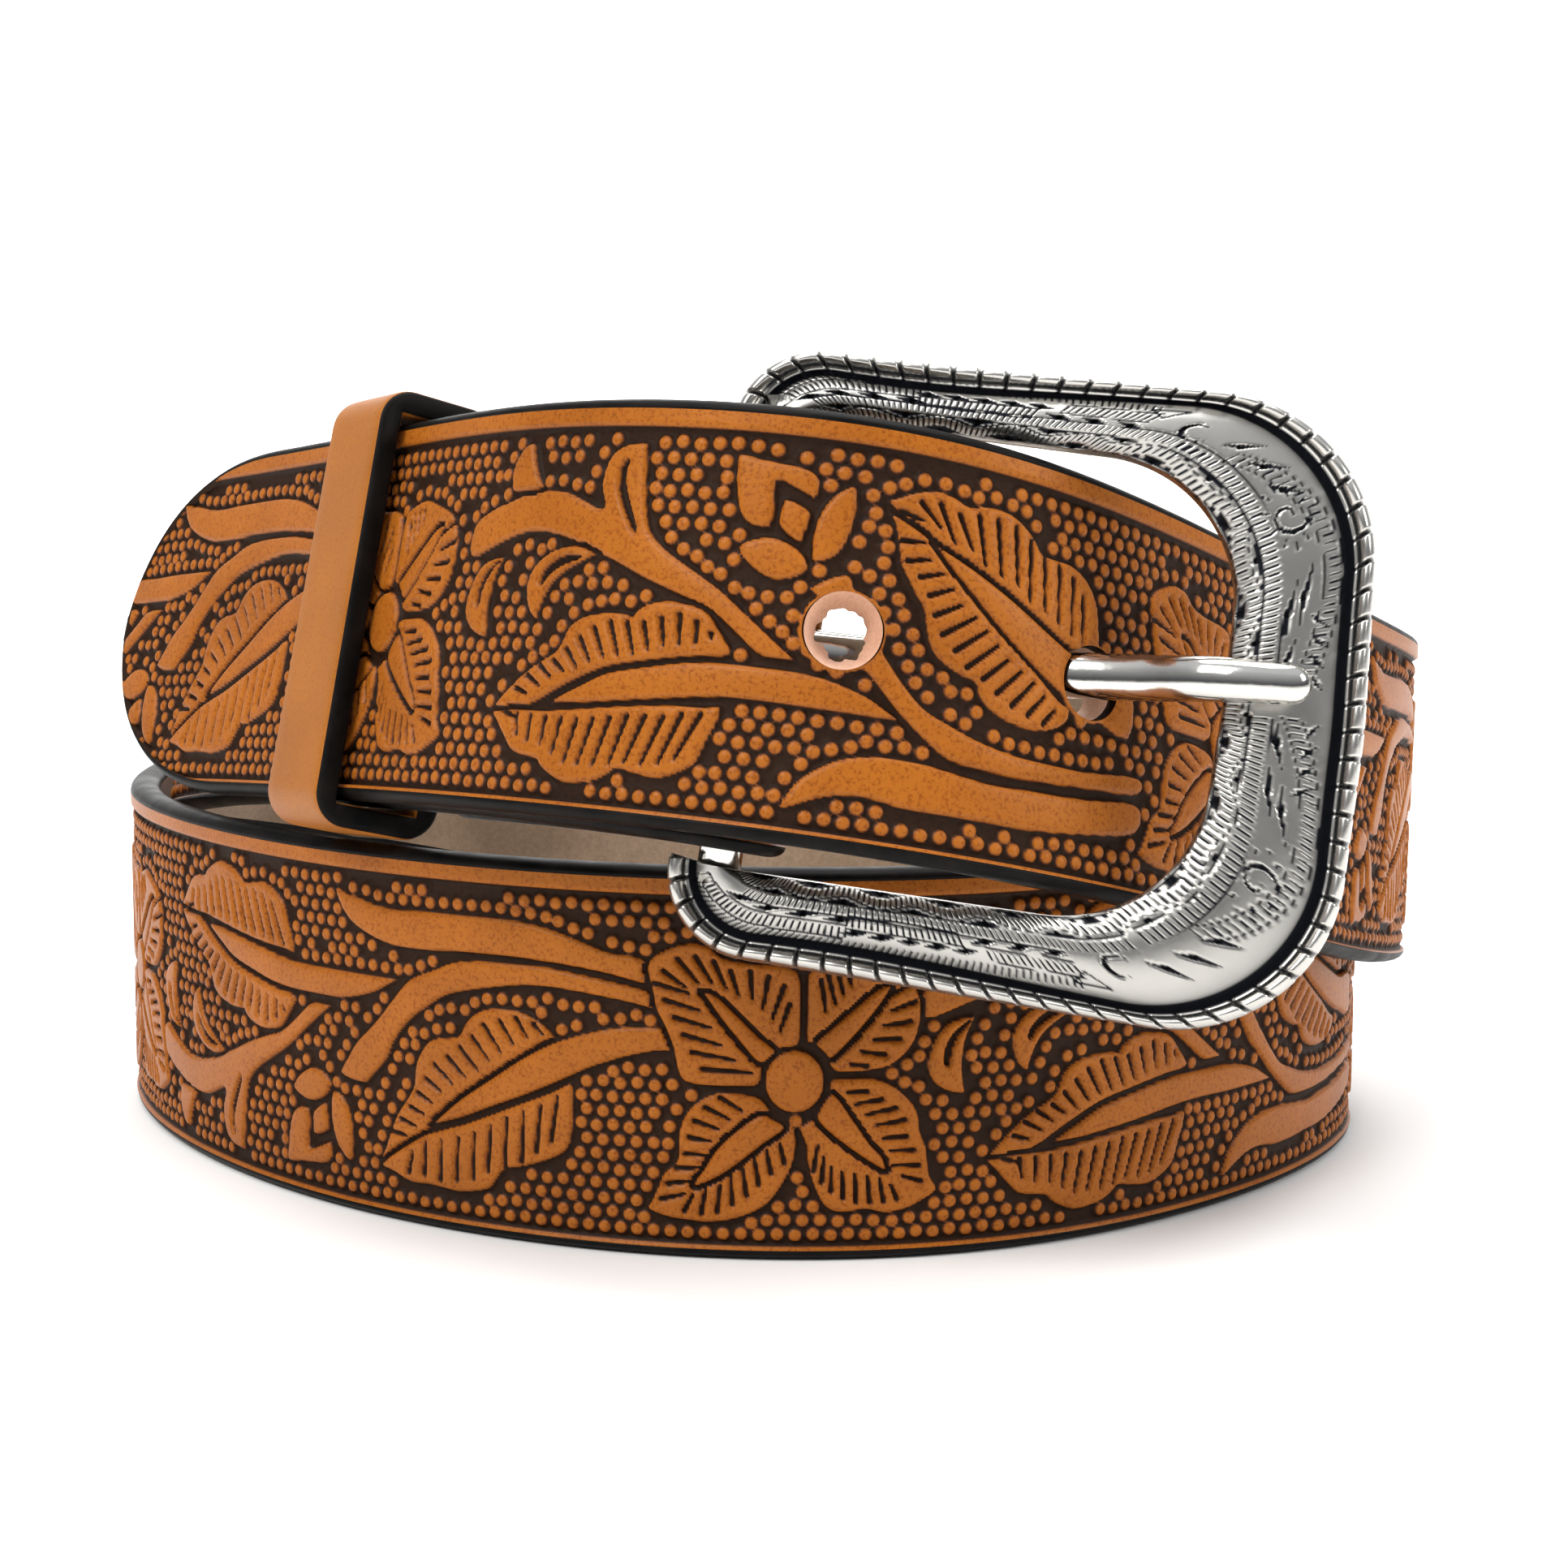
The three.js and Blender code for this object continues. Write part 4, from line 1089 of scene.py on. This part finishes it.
def makeSheet(name, start, end, cell):
    reach = tooling["sheetReach"]
    rows, columns = int(round((end - start) / cell)) + 1, int(round(2 * reach / cell)) + 1
    lengths, across = np.linspace(start, end, rows), np.linspace(-reach, reach, columns)
    spare = int(3 / cell)       # rows past each end, so that sheets agree where they meet
    steps = cell * np.arange(1, spare + 1)
    wider = np.concatenate([lengths[0] - steps[::-1], lengths, lengths[-1] + steps])
    x, w, height, hidden = openHoles(lengths, across, toolField(wider, across)[spare:-spare])
    place, _, sideways, out = strapAt(x.ravel())
    points = place + sideways * w.reshape(-1, 1)
    under = underProng(points + out * strap["thickness"] / 2)
    height = np.where(under.reshape(height.shape), tooling["pressed"], height)
    points = points + out * (strap["thickness"] / 2 + height).reshape(-1, 1)
    quads = gridQuads(rows, columns)
    flatW, covered = w.ravel(), hidden.ravel()
    gone = covered[quads].all(1)
    gone |= (flatW[quads[:, 0]] == flatW[quads[:, 1]]) & (flatW[quads[:, 2]] == flatW[quads[:, 3]])
    relief = smoothStep(tooling["dyedFrom"], tooling["dyedTo"], height.ravel())
    made = keptMesh(name, points, quads[~gone], relief)
    made.data.materials.append(tooledLeather)
    return finishPiece(made, "strap_leather", "strap")


sheets = {
    "fine": 0.24,       # mm between vertices
    "coarse": 0.44,
    "spans": [   # name, first and last length along the strap, how fine
        ("tooledTipFirst", 819.6, 903.6, "fine"),
        ("tooledTipLast", 903.6, 987.6, "fine"),
        ("tooledFrontFirst", 335.0, 427.4, "fine"),
        ("tooledFrontLast", 427.4, 519.8, "fine"),
        ("tooledInner", -51.0, 335.0, "coarse"),
        ("tooledOuter", 519.8, 819.6, "coarse"),
    ],
}

for name, start, end, cell in sheets["spans"]:
    makeSheet(name, start, end, sheets[cell])
print("tooled sheets made")

strapFinishes = (tooledLeather, edgePaint, fleshSide, cutTan)


def lengthsOfBody():
    flap = np.arange(-foldLength - strap["flapLength"], -foldLength, 1.5)
    fold = np.linspace(-foldLength, 0, 24, endpoint=False)
    tip = strapLength - strap["tipLength"] * np.linspace(1, 0, 70) ** 1.6    # closer together to the end
    return np.concatenate([flap, fold, np.arange(0, strapLength - strap["tipLength"], 1.6), tip])


# the strap under the sheets: a sunk face, black edges and the flesh side
def makeBody():
    lengths = lengthsOfBody()
    place, _, across, out = strapAt(lengths)
    half, thick = halfWidthAt(lengths), strap["thickness"] / 2
    angle = np.linspace(0, math.pi, 11)
    rings = []
    for k in range(len(lengths)):
        flat = half[k] - strap["edgeRound"]
        edge = np.stack([flat + strap["edgeRound"] * np.sin(angle) ** 0.9, thick * np.cos(angle)], 1)
        depth = 0.02 + (strap["faceSink"] - 0.02) * smoothStep(0.3, 1.0, strapLength - lengths[k])
        floor = np.array([(-flat + 0.05, thick - depth), (flat - 0.05, thick - depth)])
        ring = np.concatenate([edge, edge[::-1] * [-1, 1], floor])
        rings.append(place[k] + across[k] * ring[:, :1] + out[k] * ring[:, 1:])
    made = cappedTube("strapBody", rings)
    for finish in strapFinishes:
        made.data.materials.append(finish)
    around = len(rings[0])
    count = (len(lengths) - 1) * around
    column = np.arange(count) % around
    kind = np.where(column < 2 * len(angle) - 1, 1, 0)          # edges, with the face above them
    kind = np.where(column == len(angle) - 1, 2, kind)          # the flesh side lies between the edges
    faceMaterials(made, np.concatenate([kind, np.full(len(made.data.polygons) - count, 1)]))
    pointValues(made, "relief", np.full(len(made.data.vertices), 0.03))
    return made


holes = {
    "cutter": [(-2.4, 2.45), (-0.4, 2.9), (1.0, 3.3), (1.9, 3.45)],    # height, radius
    "lining": [(1.62, 3.42, 0.0), (1.25, 3.3, 0.02), (0.4, 3.03, 0.04),
               (-0.3, 2.78, 0.08), (-1.0, 2.48, 0.25), (-1.65, 2.23, 0.6)],    # and how ragged
    "underProng": 1,     # this one has the prong in it and no lining
}


def holeTube(name, length, grow, around=44):
    place, along, across, out = (v[0] for v in strapAt(np.array([length])))
    angle = np.arange(around) * 2 * math.pi / around
    rings = []
    for height, radius in holes["cutter"]:
        ring = (along * np.cos(angle)[:, None] + across * np.sin(angle)[:, None]) * (radius + grow)
        rings.append(place + out * height + ring)
    return cappedTube(name, rings)


def cutWith(made, cutters):
    for cutter in cutters:
        modifier = made.modifiers.new("cut", "BOOLEAN")
        modifier.operation = "DIFFERENCE"
        modifier.solver = "EXACT"
        modifier.object = cutter
    depsgraph = bpy.context.evaluated_depsgraph_get()
    cut = bpy.data.meshes.new_from_object(made.evaluated_get(depsgraph))
    made.modifiers.clear()
    made.data = cut
    for cutter in cutters:
        bpy.data.objects.remove(cutter)


body = makeBody()
cutters = [holeTube(f"holeCutter{k}", turn + back, 0.06) for k, back in enumerate(tooling["holes"])]
cutters.append(prongTube("prongCutter", prong["passageGap"], 0.3, 0.75, 24, 16))
for cutter in cutters:
    for finish in strapFinishes:
        cutter.data.materials.append(finish)
    faceMaterials(cutter, np.full(len(cutter.data.polygons), strapFinishes.index(cutTan)))
cutWith(body, cutters)
faceKinds = np.zeros(len(body.data.polygons), np.int32)
body.data.polygons.foreach_get("material_index", faceKinds)
body.data.polygons.foreach_set("use_smooth", faceKinds != strapFinishes.index(fleshSide))
finishPiece(body, "strap_leather", "strap")
print("strap body made")


def makeHoleLining(name, length, seed):
    rng = np.random.default_rng(seed)
    place, along, across, out = (v[0] for v in strapAt(np.array([length])))
    around = 72
    angle = np.arange(around) * 2 * math.pi / around
    wave = sum(rng.uniform(-1, 1) * np.sin(angle * n + rng.uniform(0, 6.28)) / n for n in range(2, 26))
    rings = []
    for height, radius, rough in holes["lining"]:
        size = radius + wave * rough
        ring = along * (size * np.cos(angle))[:, None] + across * (size * np.sin(angle))[:, None]
        rings.append(place + out * height + ring)
    made = meshFrom(name, np.concatenate(rings), gridQuads(len(rings), around, True))
    made.data.materials.append(cutTan)
    return finishPiece(made, "strap_leather", "strap")


for k, back in enumerate(tooling["holes"]):
    if k != holes["underProng"]:
        makeHoleLining(f"holeLining{k + 1}", turn + back, 7 + k)

# The keeper loop

keeper = {
    "wall": 2.5,
    "sideGap": 0.45,
    "faceGap": 0.6,
    "corner": 3.6,
    "edgeRound": 0.75,
    "layerGap": 0.5,
}


def roundedLoop(halfAcross, halfOut, radius, steps=10):
    points = []
    for sideAcross, sideOut, quarter in ((1, 1, 0), (-1, 1, 1), (-1, -1, 2), (1, -1, 3)):
        angle = (quarter + np.linspace(0, 1, steps + 1)) * math.pi / 2
        points.append(np.stack([sideAcross * (halfAcross - radius) + radius * np.cos(angle),
                                sideOut * (halfOut - radius) + radius * np.sin(angle)], 1))
    loop = np.concatenate(points)
    dense = []
    for a, b in zip(loop, np.roll(loop, -1, 0)):
        pieces = max(1, int(np.linalg.norm(b - a) / 1.5))
        dense += [a + (b - a) * j / pieces for j in range(pieces)]
    return np.array(dense)


def makeKeeper():
    halfOut = strap["thickness"] + keeper["layerGap"] / 2 + keeper["faceGap"]
    halfAcross = strap["width"] / 2 + keeper["sideGap"]
    outer = roundedLoop(halfAcross + keeper["wall"], halfOut + keeper["wall"], keeper["corner"])
    room = np.array([halfAcross, halfOut])
    inner = np.clip(outer, -room, room)
    r, wall, half = keeper["edgeRound"], keeper["wall"], strap["keeperLength"] / 2
    quarter = np.linspace(0, math.pi / 2, 6)
    lowStart = [(-half + r - r * math.sin(a), r * (1 - math.cos(a)) / wall) for a in quarter]
    highStart = [(x, 1 - share) for x, share in lowStart[::-1]]
    highRun = [(x, 1.0) for x in np.linspace(-half + r, half - r, 9)[1:-1]]
    highEnd = [(-x, share) for x, share in highStart[::-1]]
    lowEnd = [(-x, share) for x, share in lowStart[::-1]]
    lowRun = [(x, 0.0) for x in np.linspace(half - r, -half + r, 5)[1:-1]]
    path = highStart + highRun + highEnd + lowEnd + lowRun + lowStart[:-1]
    centre = strap["heelAt"] + strap["keeperAt"] + half
    rings = []
    for x, share in path:
        place, _, across, out, _ = (v[0] for v in routeAt(np.array([centre + x])))
        section = inner + (outer - inner) * share
        middle = place + shift - out * strap["layers"] / 2
        rings.append(middle + across * section[:, :1] + out * section[:, 1:])
    points = np.concatenate(rings)
    count, around = len(rings), len(outer)
    quads = gridQuads(count + 1, around, True) % (count * around)
    a, b, c = (points[quads[:, k]] for k in range(3))
    if np.einsum("ij,ij->i", a - points.mean(0), np.cross(b - a, c - a)).sum() < 0:
        quads = quads[:, ::-1]
    made = meshFrom("keeperLoop", points, quads)
    made.data.materials.append(keeperTan)
    made.data.materials.append(edgePaint)
    along = np.array([x for x, share in path])
    edgeRows = np.minimum(np.abs(along), np.abs(np.roll(along, -1))) > half - r * 0.55
    faceMaterials(made, np.repeat(edgeRows.astype(int), around))
    return finishPiece(made, "keeper_leather", "keeper")


makeKeeper()
print("keeper made")

# The rivet that closes the fold

rivet = {
    "at": 26.0,            # from the heel bar
    "shank": 3.6,
    "head": 8.0,
    "headHeight": 1.4,
    "flushHead": 6.4,
    "flushDepth": 0.9,
    "flushAt": 1.70,
    "standOff": 0.8,
}


def makeRivet():
    place, along, across, out = (v[0] for v in buckleEnd(np.array([rivet["at"]])))
    top, back = rivet["flushAt"], -strap["thickness"] / 2 - strap["layers"] - rivet["standOff"]
    flush, shank, dome = rivet["flushHead"] / 2, rivet["shank"] / 2, rivet["head"] / 2
    seat = top - rivet["flushDepth"]
    profile = [(0.05, top), (flush - 0.3, top), (flush, top - 0.25), (flush, seat), (shank, seat),
               (shank, back)]
    for a in np.linspace(0, 1.5, 10):
        profile.append((dome * math.cos(a), back - rivet["headHeight"] * math.sin(a)))
    angle = np.arange(40) * math.pi / 20
    circle = along * np.cos(angle)[:, None] + across * np.sin(angle)[:, None]
    rings = [place + shift + out * height + circle * radius for radius, height in profile]
    made = cappedTube("foldRivet", rings)
    made.data.materials.append(polishedNickel)
    return finishPiece(made, "rivet_nickel", "fold_rivet")


makeRivet()


def makeProng():
    shank = prongTube("prongShank", 0.0, 0.0, 1.0)
    inner = strap["barRadius"] + strap["barClearance"]
    outer, half = inner + prong["eyeWall"], prong["eyeWidth"] / 2
    middle, halfWall = (inner + outer) / 2, prong["eyeWall"] / 2
    angle = np.arange(48) * math.pi / 24
    corner = np.arange(16) * math.pi / 8
    reach = middle + halfWall * softened(np.cos(corner), 0.5)
    side = half * softened(np.sin(corner), 0.5)
    rings = []
    for a in angle:
        ring = np.stack([reach * math.cos(a), side, reach * math.sin(a)], 1)
        rings.append(onBuckle(ring, prongAxes))
    points = np.concatenate(rings)
    quads = gridQuads(len(rings) + 1, 16, True) % len(points)
    eye = meshFrom("prongEye", points, quads)
    for piece in (shank, eye):
        piece.data.materials.append(polishedNickel)
        finishPiece(piece, "prong_nickel", "buckle_prong")


makeProng()
print("rivet and prong made")

# The buckle: rope rim, dark channel and engraved face


def filletedPieces(corners, steps=60):
    pieces, start = [], np.array(corners[0][:2], float)
    for k in range(1, len(corners)):
        corner = np.array(corners[k][:2], float)
        radius = corners[k][2] if len(corners[k]) > 2 else 0
        if not radius:
            pieces.append(np.linspace(start, corner, steps))
            start = corner
            continue
        back, ahead = unit(start - corner), unit(np.array(corners[k + 1][:2], float) - corner)
        half = math.acos(max(-1, min(1, float(back @ ahead)))) / 2
        first, last = corner + back * radius / math.tan(half), corner + ahead * radius / math.tan(half)
        middle = corner + unit(back + ahead) * radius / math.sin(half)
        a, b = math.atan2(*(first - middle)[::-1]), math.atan2(*(last - middle)[::-1])
        b = b + 2 * math.pi if b < a else b
        angle = np.linspace(a, b, steps)
        arc = middle + radius * np.stack([np.cos(angle), np.sin(angle)], 1)
        pieces += [np.linspace(start, first, steps), arc]
        start = last
    return pieces


outerPieces = filletedPieces([
    (-buckle["left"], -buckle["openingLow"] + buckle["taper"]),
    (-buckle["left"], -buckle["halfLeft"], buckle["cornerLeft"]),
    (buckle["right"] + buckle["skew"], -buckle["halfRight"], buckle["cornerRight"]),
    (buckle["right"] + buckle["bulge"], 0, buckle["bulgeRadius"]),
    (buckle["right"] - buckle["skew"], buckle["halfRight"], buckle["cornerRight"]),
    (-buckle["left"], buckle["halfLeft"], buckle["cornerLeft"]),
    (-buckle["left"], buckle["openingHigh"] - buckle["taper"])])
innerPieces = filletedPieces([
    (0, -buckle["openingLow"]), (strap["barRadius"], -buckle["openingLow"]),
    (buckle["curveLeft"], -buckle["openingLow"]),
    (buckle["openingRight"], -buckle["openingLow"], buckle["openingCorner"]),
    (buckle["openingRight"] + buckle["openingBulge"], 0, buckle["bulgeRadius"]),
    (buckle["openingRight"], buckle["openingHigh"], buckle["openingCorner"]),
    (buckle["curveLeft"], buckle["openingHigh"]), (strap["barRadius"], buckle["openingHigh"]),
    (0, buckle["openingHigh"])])
pieceRuns = [np.linalg.norm(np.diff(piece, axis=0), axis=1).sum() for piece in outerPieces]
pieceEnds = np.concatenate([[0], np.cumsum(pieceRuns)])
outlineLength = pieceEnds[-1]


def rimAndOpening(t):
    number = np.clip(np.searchsorted(pieceEnds, t, side="right") - 1, 0, len(pieceRuns) - 1)
    both = np.zeros((2, len(t), 2))
    for k, run in enumerate(pieceRuns):
        mine = number == k
        share = (t[mine] - pieceEnds[k]) / run
        for side, pieces in enumerate((outerPieces, innerPieces)):
            for axis in range(2):
                both[side, mine, axis] = np.interp(share, np.linspace(0, 1, 60), pieces[k][:, axis])
    return both


engraving = {
    "depth": 0.42,
    "patina": 0.14,
    "darkEdge": 0.45,
    "wavePitch": 9.4,
    "waveAcross": 9.0,
    "waveSwing": 0.42,
    "prongCentre": 177.0,    # the right bar's cuts are mirrored about this
    "armRibbons": [          # from, to, across, reach, slant, half width, bordered
        (8, 56, 7.25, 0.36, 0.0, 0.15, True),
        (3, 47, 3.5, 0.42, 0.3, 0.13, False),
        (2, 22, 4.9, 0.42, 0.0, 0.17, True),
        (22, 36, 6.1, 0.42, 0.0, 0.17, True),
        (38, 48, 4.9, 0.4, 0.0, 0.15, True),
    ],
    "armLeaves": [           # rows of them: from, to, pitch, length, across at each end, half width
        (6, 20, 4.4, 3.9, 6.0, 6.5, 0.34),
        (21.5, 34, 3.1, 2.9, 4.8, 5.1, 0.3),
        (36.5, 47, 4.1, 3.7, 5.9, 6.6, 0.38),
    ],
    "curlAt": (68.5, 5.4),
    "barLeaves": [(73, 4.4, 80, 5.3), (74.5, 5.6, 81.5, 6.2), (81, 5.4, 87, 6.2)],
}


# cuts on the face: along the outline in mm, across 0 at the rim to 10 at the opening
def engravedCuts():
    cuts = []   # start, end, half width at start, half width at end

    def line(points, half=0.11, taper=False):
        for k, (start, end) in enumerate(zip(points[:-1], points[1:])):
            first = half * (math.sin(math.pi * k / (len(points) - 1)) if taper else 1) + 0.03
            last = half * (math.sin(math.pi * (k + 1) / (len(points) - 1)) if taper else 1) + 0.03
            cuts.append((*start, *end, first, last))

    def ribbon(t0, t1, middle, reach=0.5, pitch=0.74, slant=0.0, half=0.15, bordered=True):
        for t in np.arange(t0, t1, pitch):
            v = middle(t)
            cuts.append((t - slant, v - reach, t + slant, v + reach, half, half * 0.8))
        if bordered:
            for side in (-1, 1):
                line([(t, middle(t) + side * (reach + 0.32)) for t in np.arange(t0, t1, 0.9)], 0.07)

    def leaf(t0, v0, t1, v1, half=0.34, bow=0.0):
        middle = ((t0 + t1) / 2, (v0 + v1) / 2 + bow)
        cuts.append((t0, v0, *middle, 0.06, half))
        cuts.append((*middle, t1, v1, half, 0.05))

    def hook(t, v, size, start, sweep, half=0.2):
        angle = [start + sweep * k / 9 for k in range(10)]
        line([(t + size * (1 - k / 14) * math.cos(a), v + size * 0.8 * (1 - k / 14) * math.sin(a))
              for k, a in enumerate(angle)], half, True)

    def wave(t):
        turns = t / engraving["wavePitch"]
        return engraving["waveAcross"] + engraving["waveSwing"] * math.sin(2 * math.pi * turns)

    ribbon(3, outlineLength - 3, wave, 0.34)
    for k in range(int(outlineLength / engraving["wavePitch"])):
        t = (k + 0.75) * engraving["wavePitch"]
        leaf(t - 2.2, 9.75, t + 2.2, 9.75, 0.36, -0.15)
        leaf(t + 2.6, 8.1, t + 6.6, 8.1, 0.34, 0.15)

    def moveCuts(first, place):
        for k in range(first, len(cuts)):
            t0, v0, t1, v1, half0, half1 = cuts[k]
            cuts[k] = (place(t0), v0, place(t1), v1, half0, half1)

    def arm(place):
        first = len(cuts)
        for start, end, across, reach, slant, half, bordered in engraving["armRibbons"]:
            ribbon(start, end, lambda t: across, reach, 0.74, slant, half, bordered)
        for start, end, pitch, length, v0, v1, half in engraving["armLeaves"]:
            for t in np.arange(start, end, pitch):
                leaf(t, v0, t + length, v1, half)
        line([(46, 3.6), (49.6, 3.4), (48.4, 4.8), (46, 3.6)], 0.1)
        hook(52.5, 5.2, 1.9, 0.6, 4.4, 0.26)
        for k in range(3):
            leaf(55.2 + 2.8 * k, 5.6, 57.4 + 2.8 * k, 3.5, 0.34, 0.3)
        moveCuts(first, place)

    def bar(place):
        first = len(cuts)
        ribbon(57, 87, lambda t: 7.3, 0.42, half=0.16)
        ribbon(61, 87.5, lambda t: 6.1 - 3.1 * math.sin(math.pi * (t - 61) / 28) ** 0.8, 0.36, half=0.13)
        t, v = engraving["curlAt"]
        hook(t, v, 2.2, -2.2, 5.0, 0.22)
        hook(t, v, 1.2, 0.8, 4.6, 0.16)
        for k in range(10):      # rays round the curl
            c, s = math.cos(2 * math.pi * k / 10), math.sin(2 * math.pi * k / 10)
            cuts.append((t + 2.5 * c, v + 1.1 * s, t + 3.2 * c, v + 1.5 * s, 0.08, 0.2))
        for ends in engraving["barLeaves"]:
            leaf(*ends, 0.42, 0.25)
        for k in range(4):
            leaf(78.5 + 2.2 * k, 4.5 - 0.15 * k, 80.2 + 2.2 * k, 3.2, 0.26, 0.1)
        moveCuts(first, place)
    for place in (lambda t: t, lambda t: outlineLength - t):
        arm(place)
    for place in (lambda t: t, lambda t: engraving["prongCentre"] - t):
        bar(place)
    return cuts


def ropeHeight(across, place, notch):
    roundness = np.clip(1 - ((across - buckle["ropeMiddle"]) / buckle["ropeHalf"]) ** 2, 0, 1)
    rope = 0.35 + (buckle["rimHeight"] - 0.55) * np.sqrt(roundness)
    rope = rope + buckle["ropeSwell"] * np.sin(np.pi * place) * roundness
    return np.maximum(rope - buckle["ropeSlitDepth"] * notch, 0.3)


def faceHeight(share):
    low, crown, edge = buckle["channelHeight"], buckle["crown"], buckle["innerEdge"]
    crownAt = buckle["crownAt"]
    rising = low + (crown - low) * np.sin(np.clip(share / crownAt, 0, 1) * math.pi / 2) ** 0.8
    falling = crown - (crown - edge) * np.clip((share - crownAt) / (1 - crownAt), 0, 1) ** 2
    return np.where(share <= 0, low - 0.25, np.where(share < crownAt, rising, falling))


def engrave(t, across, width, isRim, height, shade):
    v = across / width[:, None] * 10
    mmPerV = width[:, None] / 10
    for t0, v0, t1, v1, half0, half1 in engravedCuts():
        rows = window(t, min(t0, t1) - 0.6, max(t0, t1) + 0.6)
        if rows.stop <= rows.start:
            continue
        x, y, scale = t[rows][:, None], v[rows], mmPerV[rows]
        dx, dy = t1 - t0, (v1 - v0) * scale
        share = np.clip(((x - t0) * dx + (y - v0) * scale * dy) / (dx * dx + dy * dy + 1e-9), 0, 1)
        away = np.hypot(x - t0 - share * dx, (y - v0) * scale - share * dy)
        half = half0 + (half1 - half0) * share
        cut = np.clip(1 - (away / half) ** 2, 0, 1) * ~isRim[rows]
        height[rows] -= np.minimum(engraving["depth"], half * 1.2) * cut * 0.8
        shade[rows] = np.maximum(shade[rows], np.clip(cut * 2.4, 0, 1))


# swept round the outline, from the back over the rim and face to the back again
def makeFrame():
    step = 0.13
    t = np.linspace(0, outlineLength, int(outlineLength / step) + 1)
    outer, inner = rimAndOpening(t)
    width = np.linalg.norm(inner - outer, axis=1)
    inwards = (inner - outer) / width[:, None]
    rimWidth, faceFrom = buckle["rimWidth"], buckle["rimWidth"] + buckle["channelWidth"]
    rim = np.append(np.linspace(0.08, rimWidth + 0.1, 9), rimWidth + 0.4)
    face = faceFrom - 0.05 + (width[:, None] - faceFrom - 0.1 + 0.05) * np.linspace(0, 1, 38)[None]
    across = np.concatenate([rim[None] + 0 * t[:, None], face], 1)
    share = np.clip((across - faceFrom) / (width[:, None] - faceFrom), 0, 1)
    isRim = across < rimWidth + 0.15
    place = (t[:, None] + (across - 0.9) * buckle["ropeSlant"]) / buckle["ropePitch"] % 1
    slit = (0.5 - np.abs(place - 0.5)) * buckle["ropePitch"]
    notch = np.clip(1 - (slit / buckle["ropeSlit"]) ** 2, 0, 1)
    height = np.where(isRim, ropeHeight(across, place, notch), faceHeight(share))
    aged = engraving["patina"] + engraving["darkEdge"] * np.clip(1 - share / 0.3, 0, 1) ** 2
    shade = np.where(isRim, np.clip(1.3 - slit / 0.2, 0, 1), np.clip(1.1 - share / 0.05, 0, 1) + aged)
    engrave(t, across, width, isRim, height, shade)
    across = across + 0.3 * notch * isRim * np.clip(1 - across / 0.9, 0, 1)
    r, back, edge = buckle["innerRound"], -buckle["back"], buckle["innerEdge"]

    def wall(*steps):
        return np.stack([np.stack([reach + 0 * t, level + 0 * t], 1) for reach, level in steps], 1)
    before = wall((0.3, back), (0.05, 0.4 + back), (0.0, -0.8), (0.35 * notch[:, 0], 0.1))
    after = wall((width - r * 0.25, edge - 0.12), (width - 0.02, edge - r), (width, -0.6),
                 (width - 0.15, 0.5 + back), (width - r, back))
    section = np.concatenate([before, np.stack([across, height], 2), after], 1)
    bare = np.zeros((len(t), 3))
    shade = np.concatenate([bare, shade[:, :1], shade, np.zeros((len(t), after.shape[1]))], 1)
    flat = outer[:, None] + inwards[:, None] * section[..., :1]
    local = np.concatenate([flat, section[..., 1:]], 2)
    made = cappedTube("buckleFrame", [onBuckle(ring) for ring in local])
    pointValues(made, "shade", np.concatenate([shade.ravel(), [0, 0]]))
    made.data.materials.append(engravedNickel)
    finishPiece(made, "buckle_nickel", "buckle_frame")


def makeHeelBar():
    low, high = -buckle["openingLow"] - buckle["barReach"], buckle["openingHigh"] + buckle["barReach"]
    angle = np.arange(36) * math.pi / 18
    ahead, up = strap["barRadius"] * np.cos(angle), strap["barRadius"] * np.sin(angle)
    rings = [onBuckle(np.stack([ahead, w + 0 * angle, up], 1)) for w in np.linspace(low, high, 12)]
    bar = cappedTube("heelBar", rings)
    bar.data.materials.append(polishedNickel)
    finishPiece(bar, "buckle_nickel", "buckle_frame")


makeFrame()
makeHeelBar()
print("buckle made")
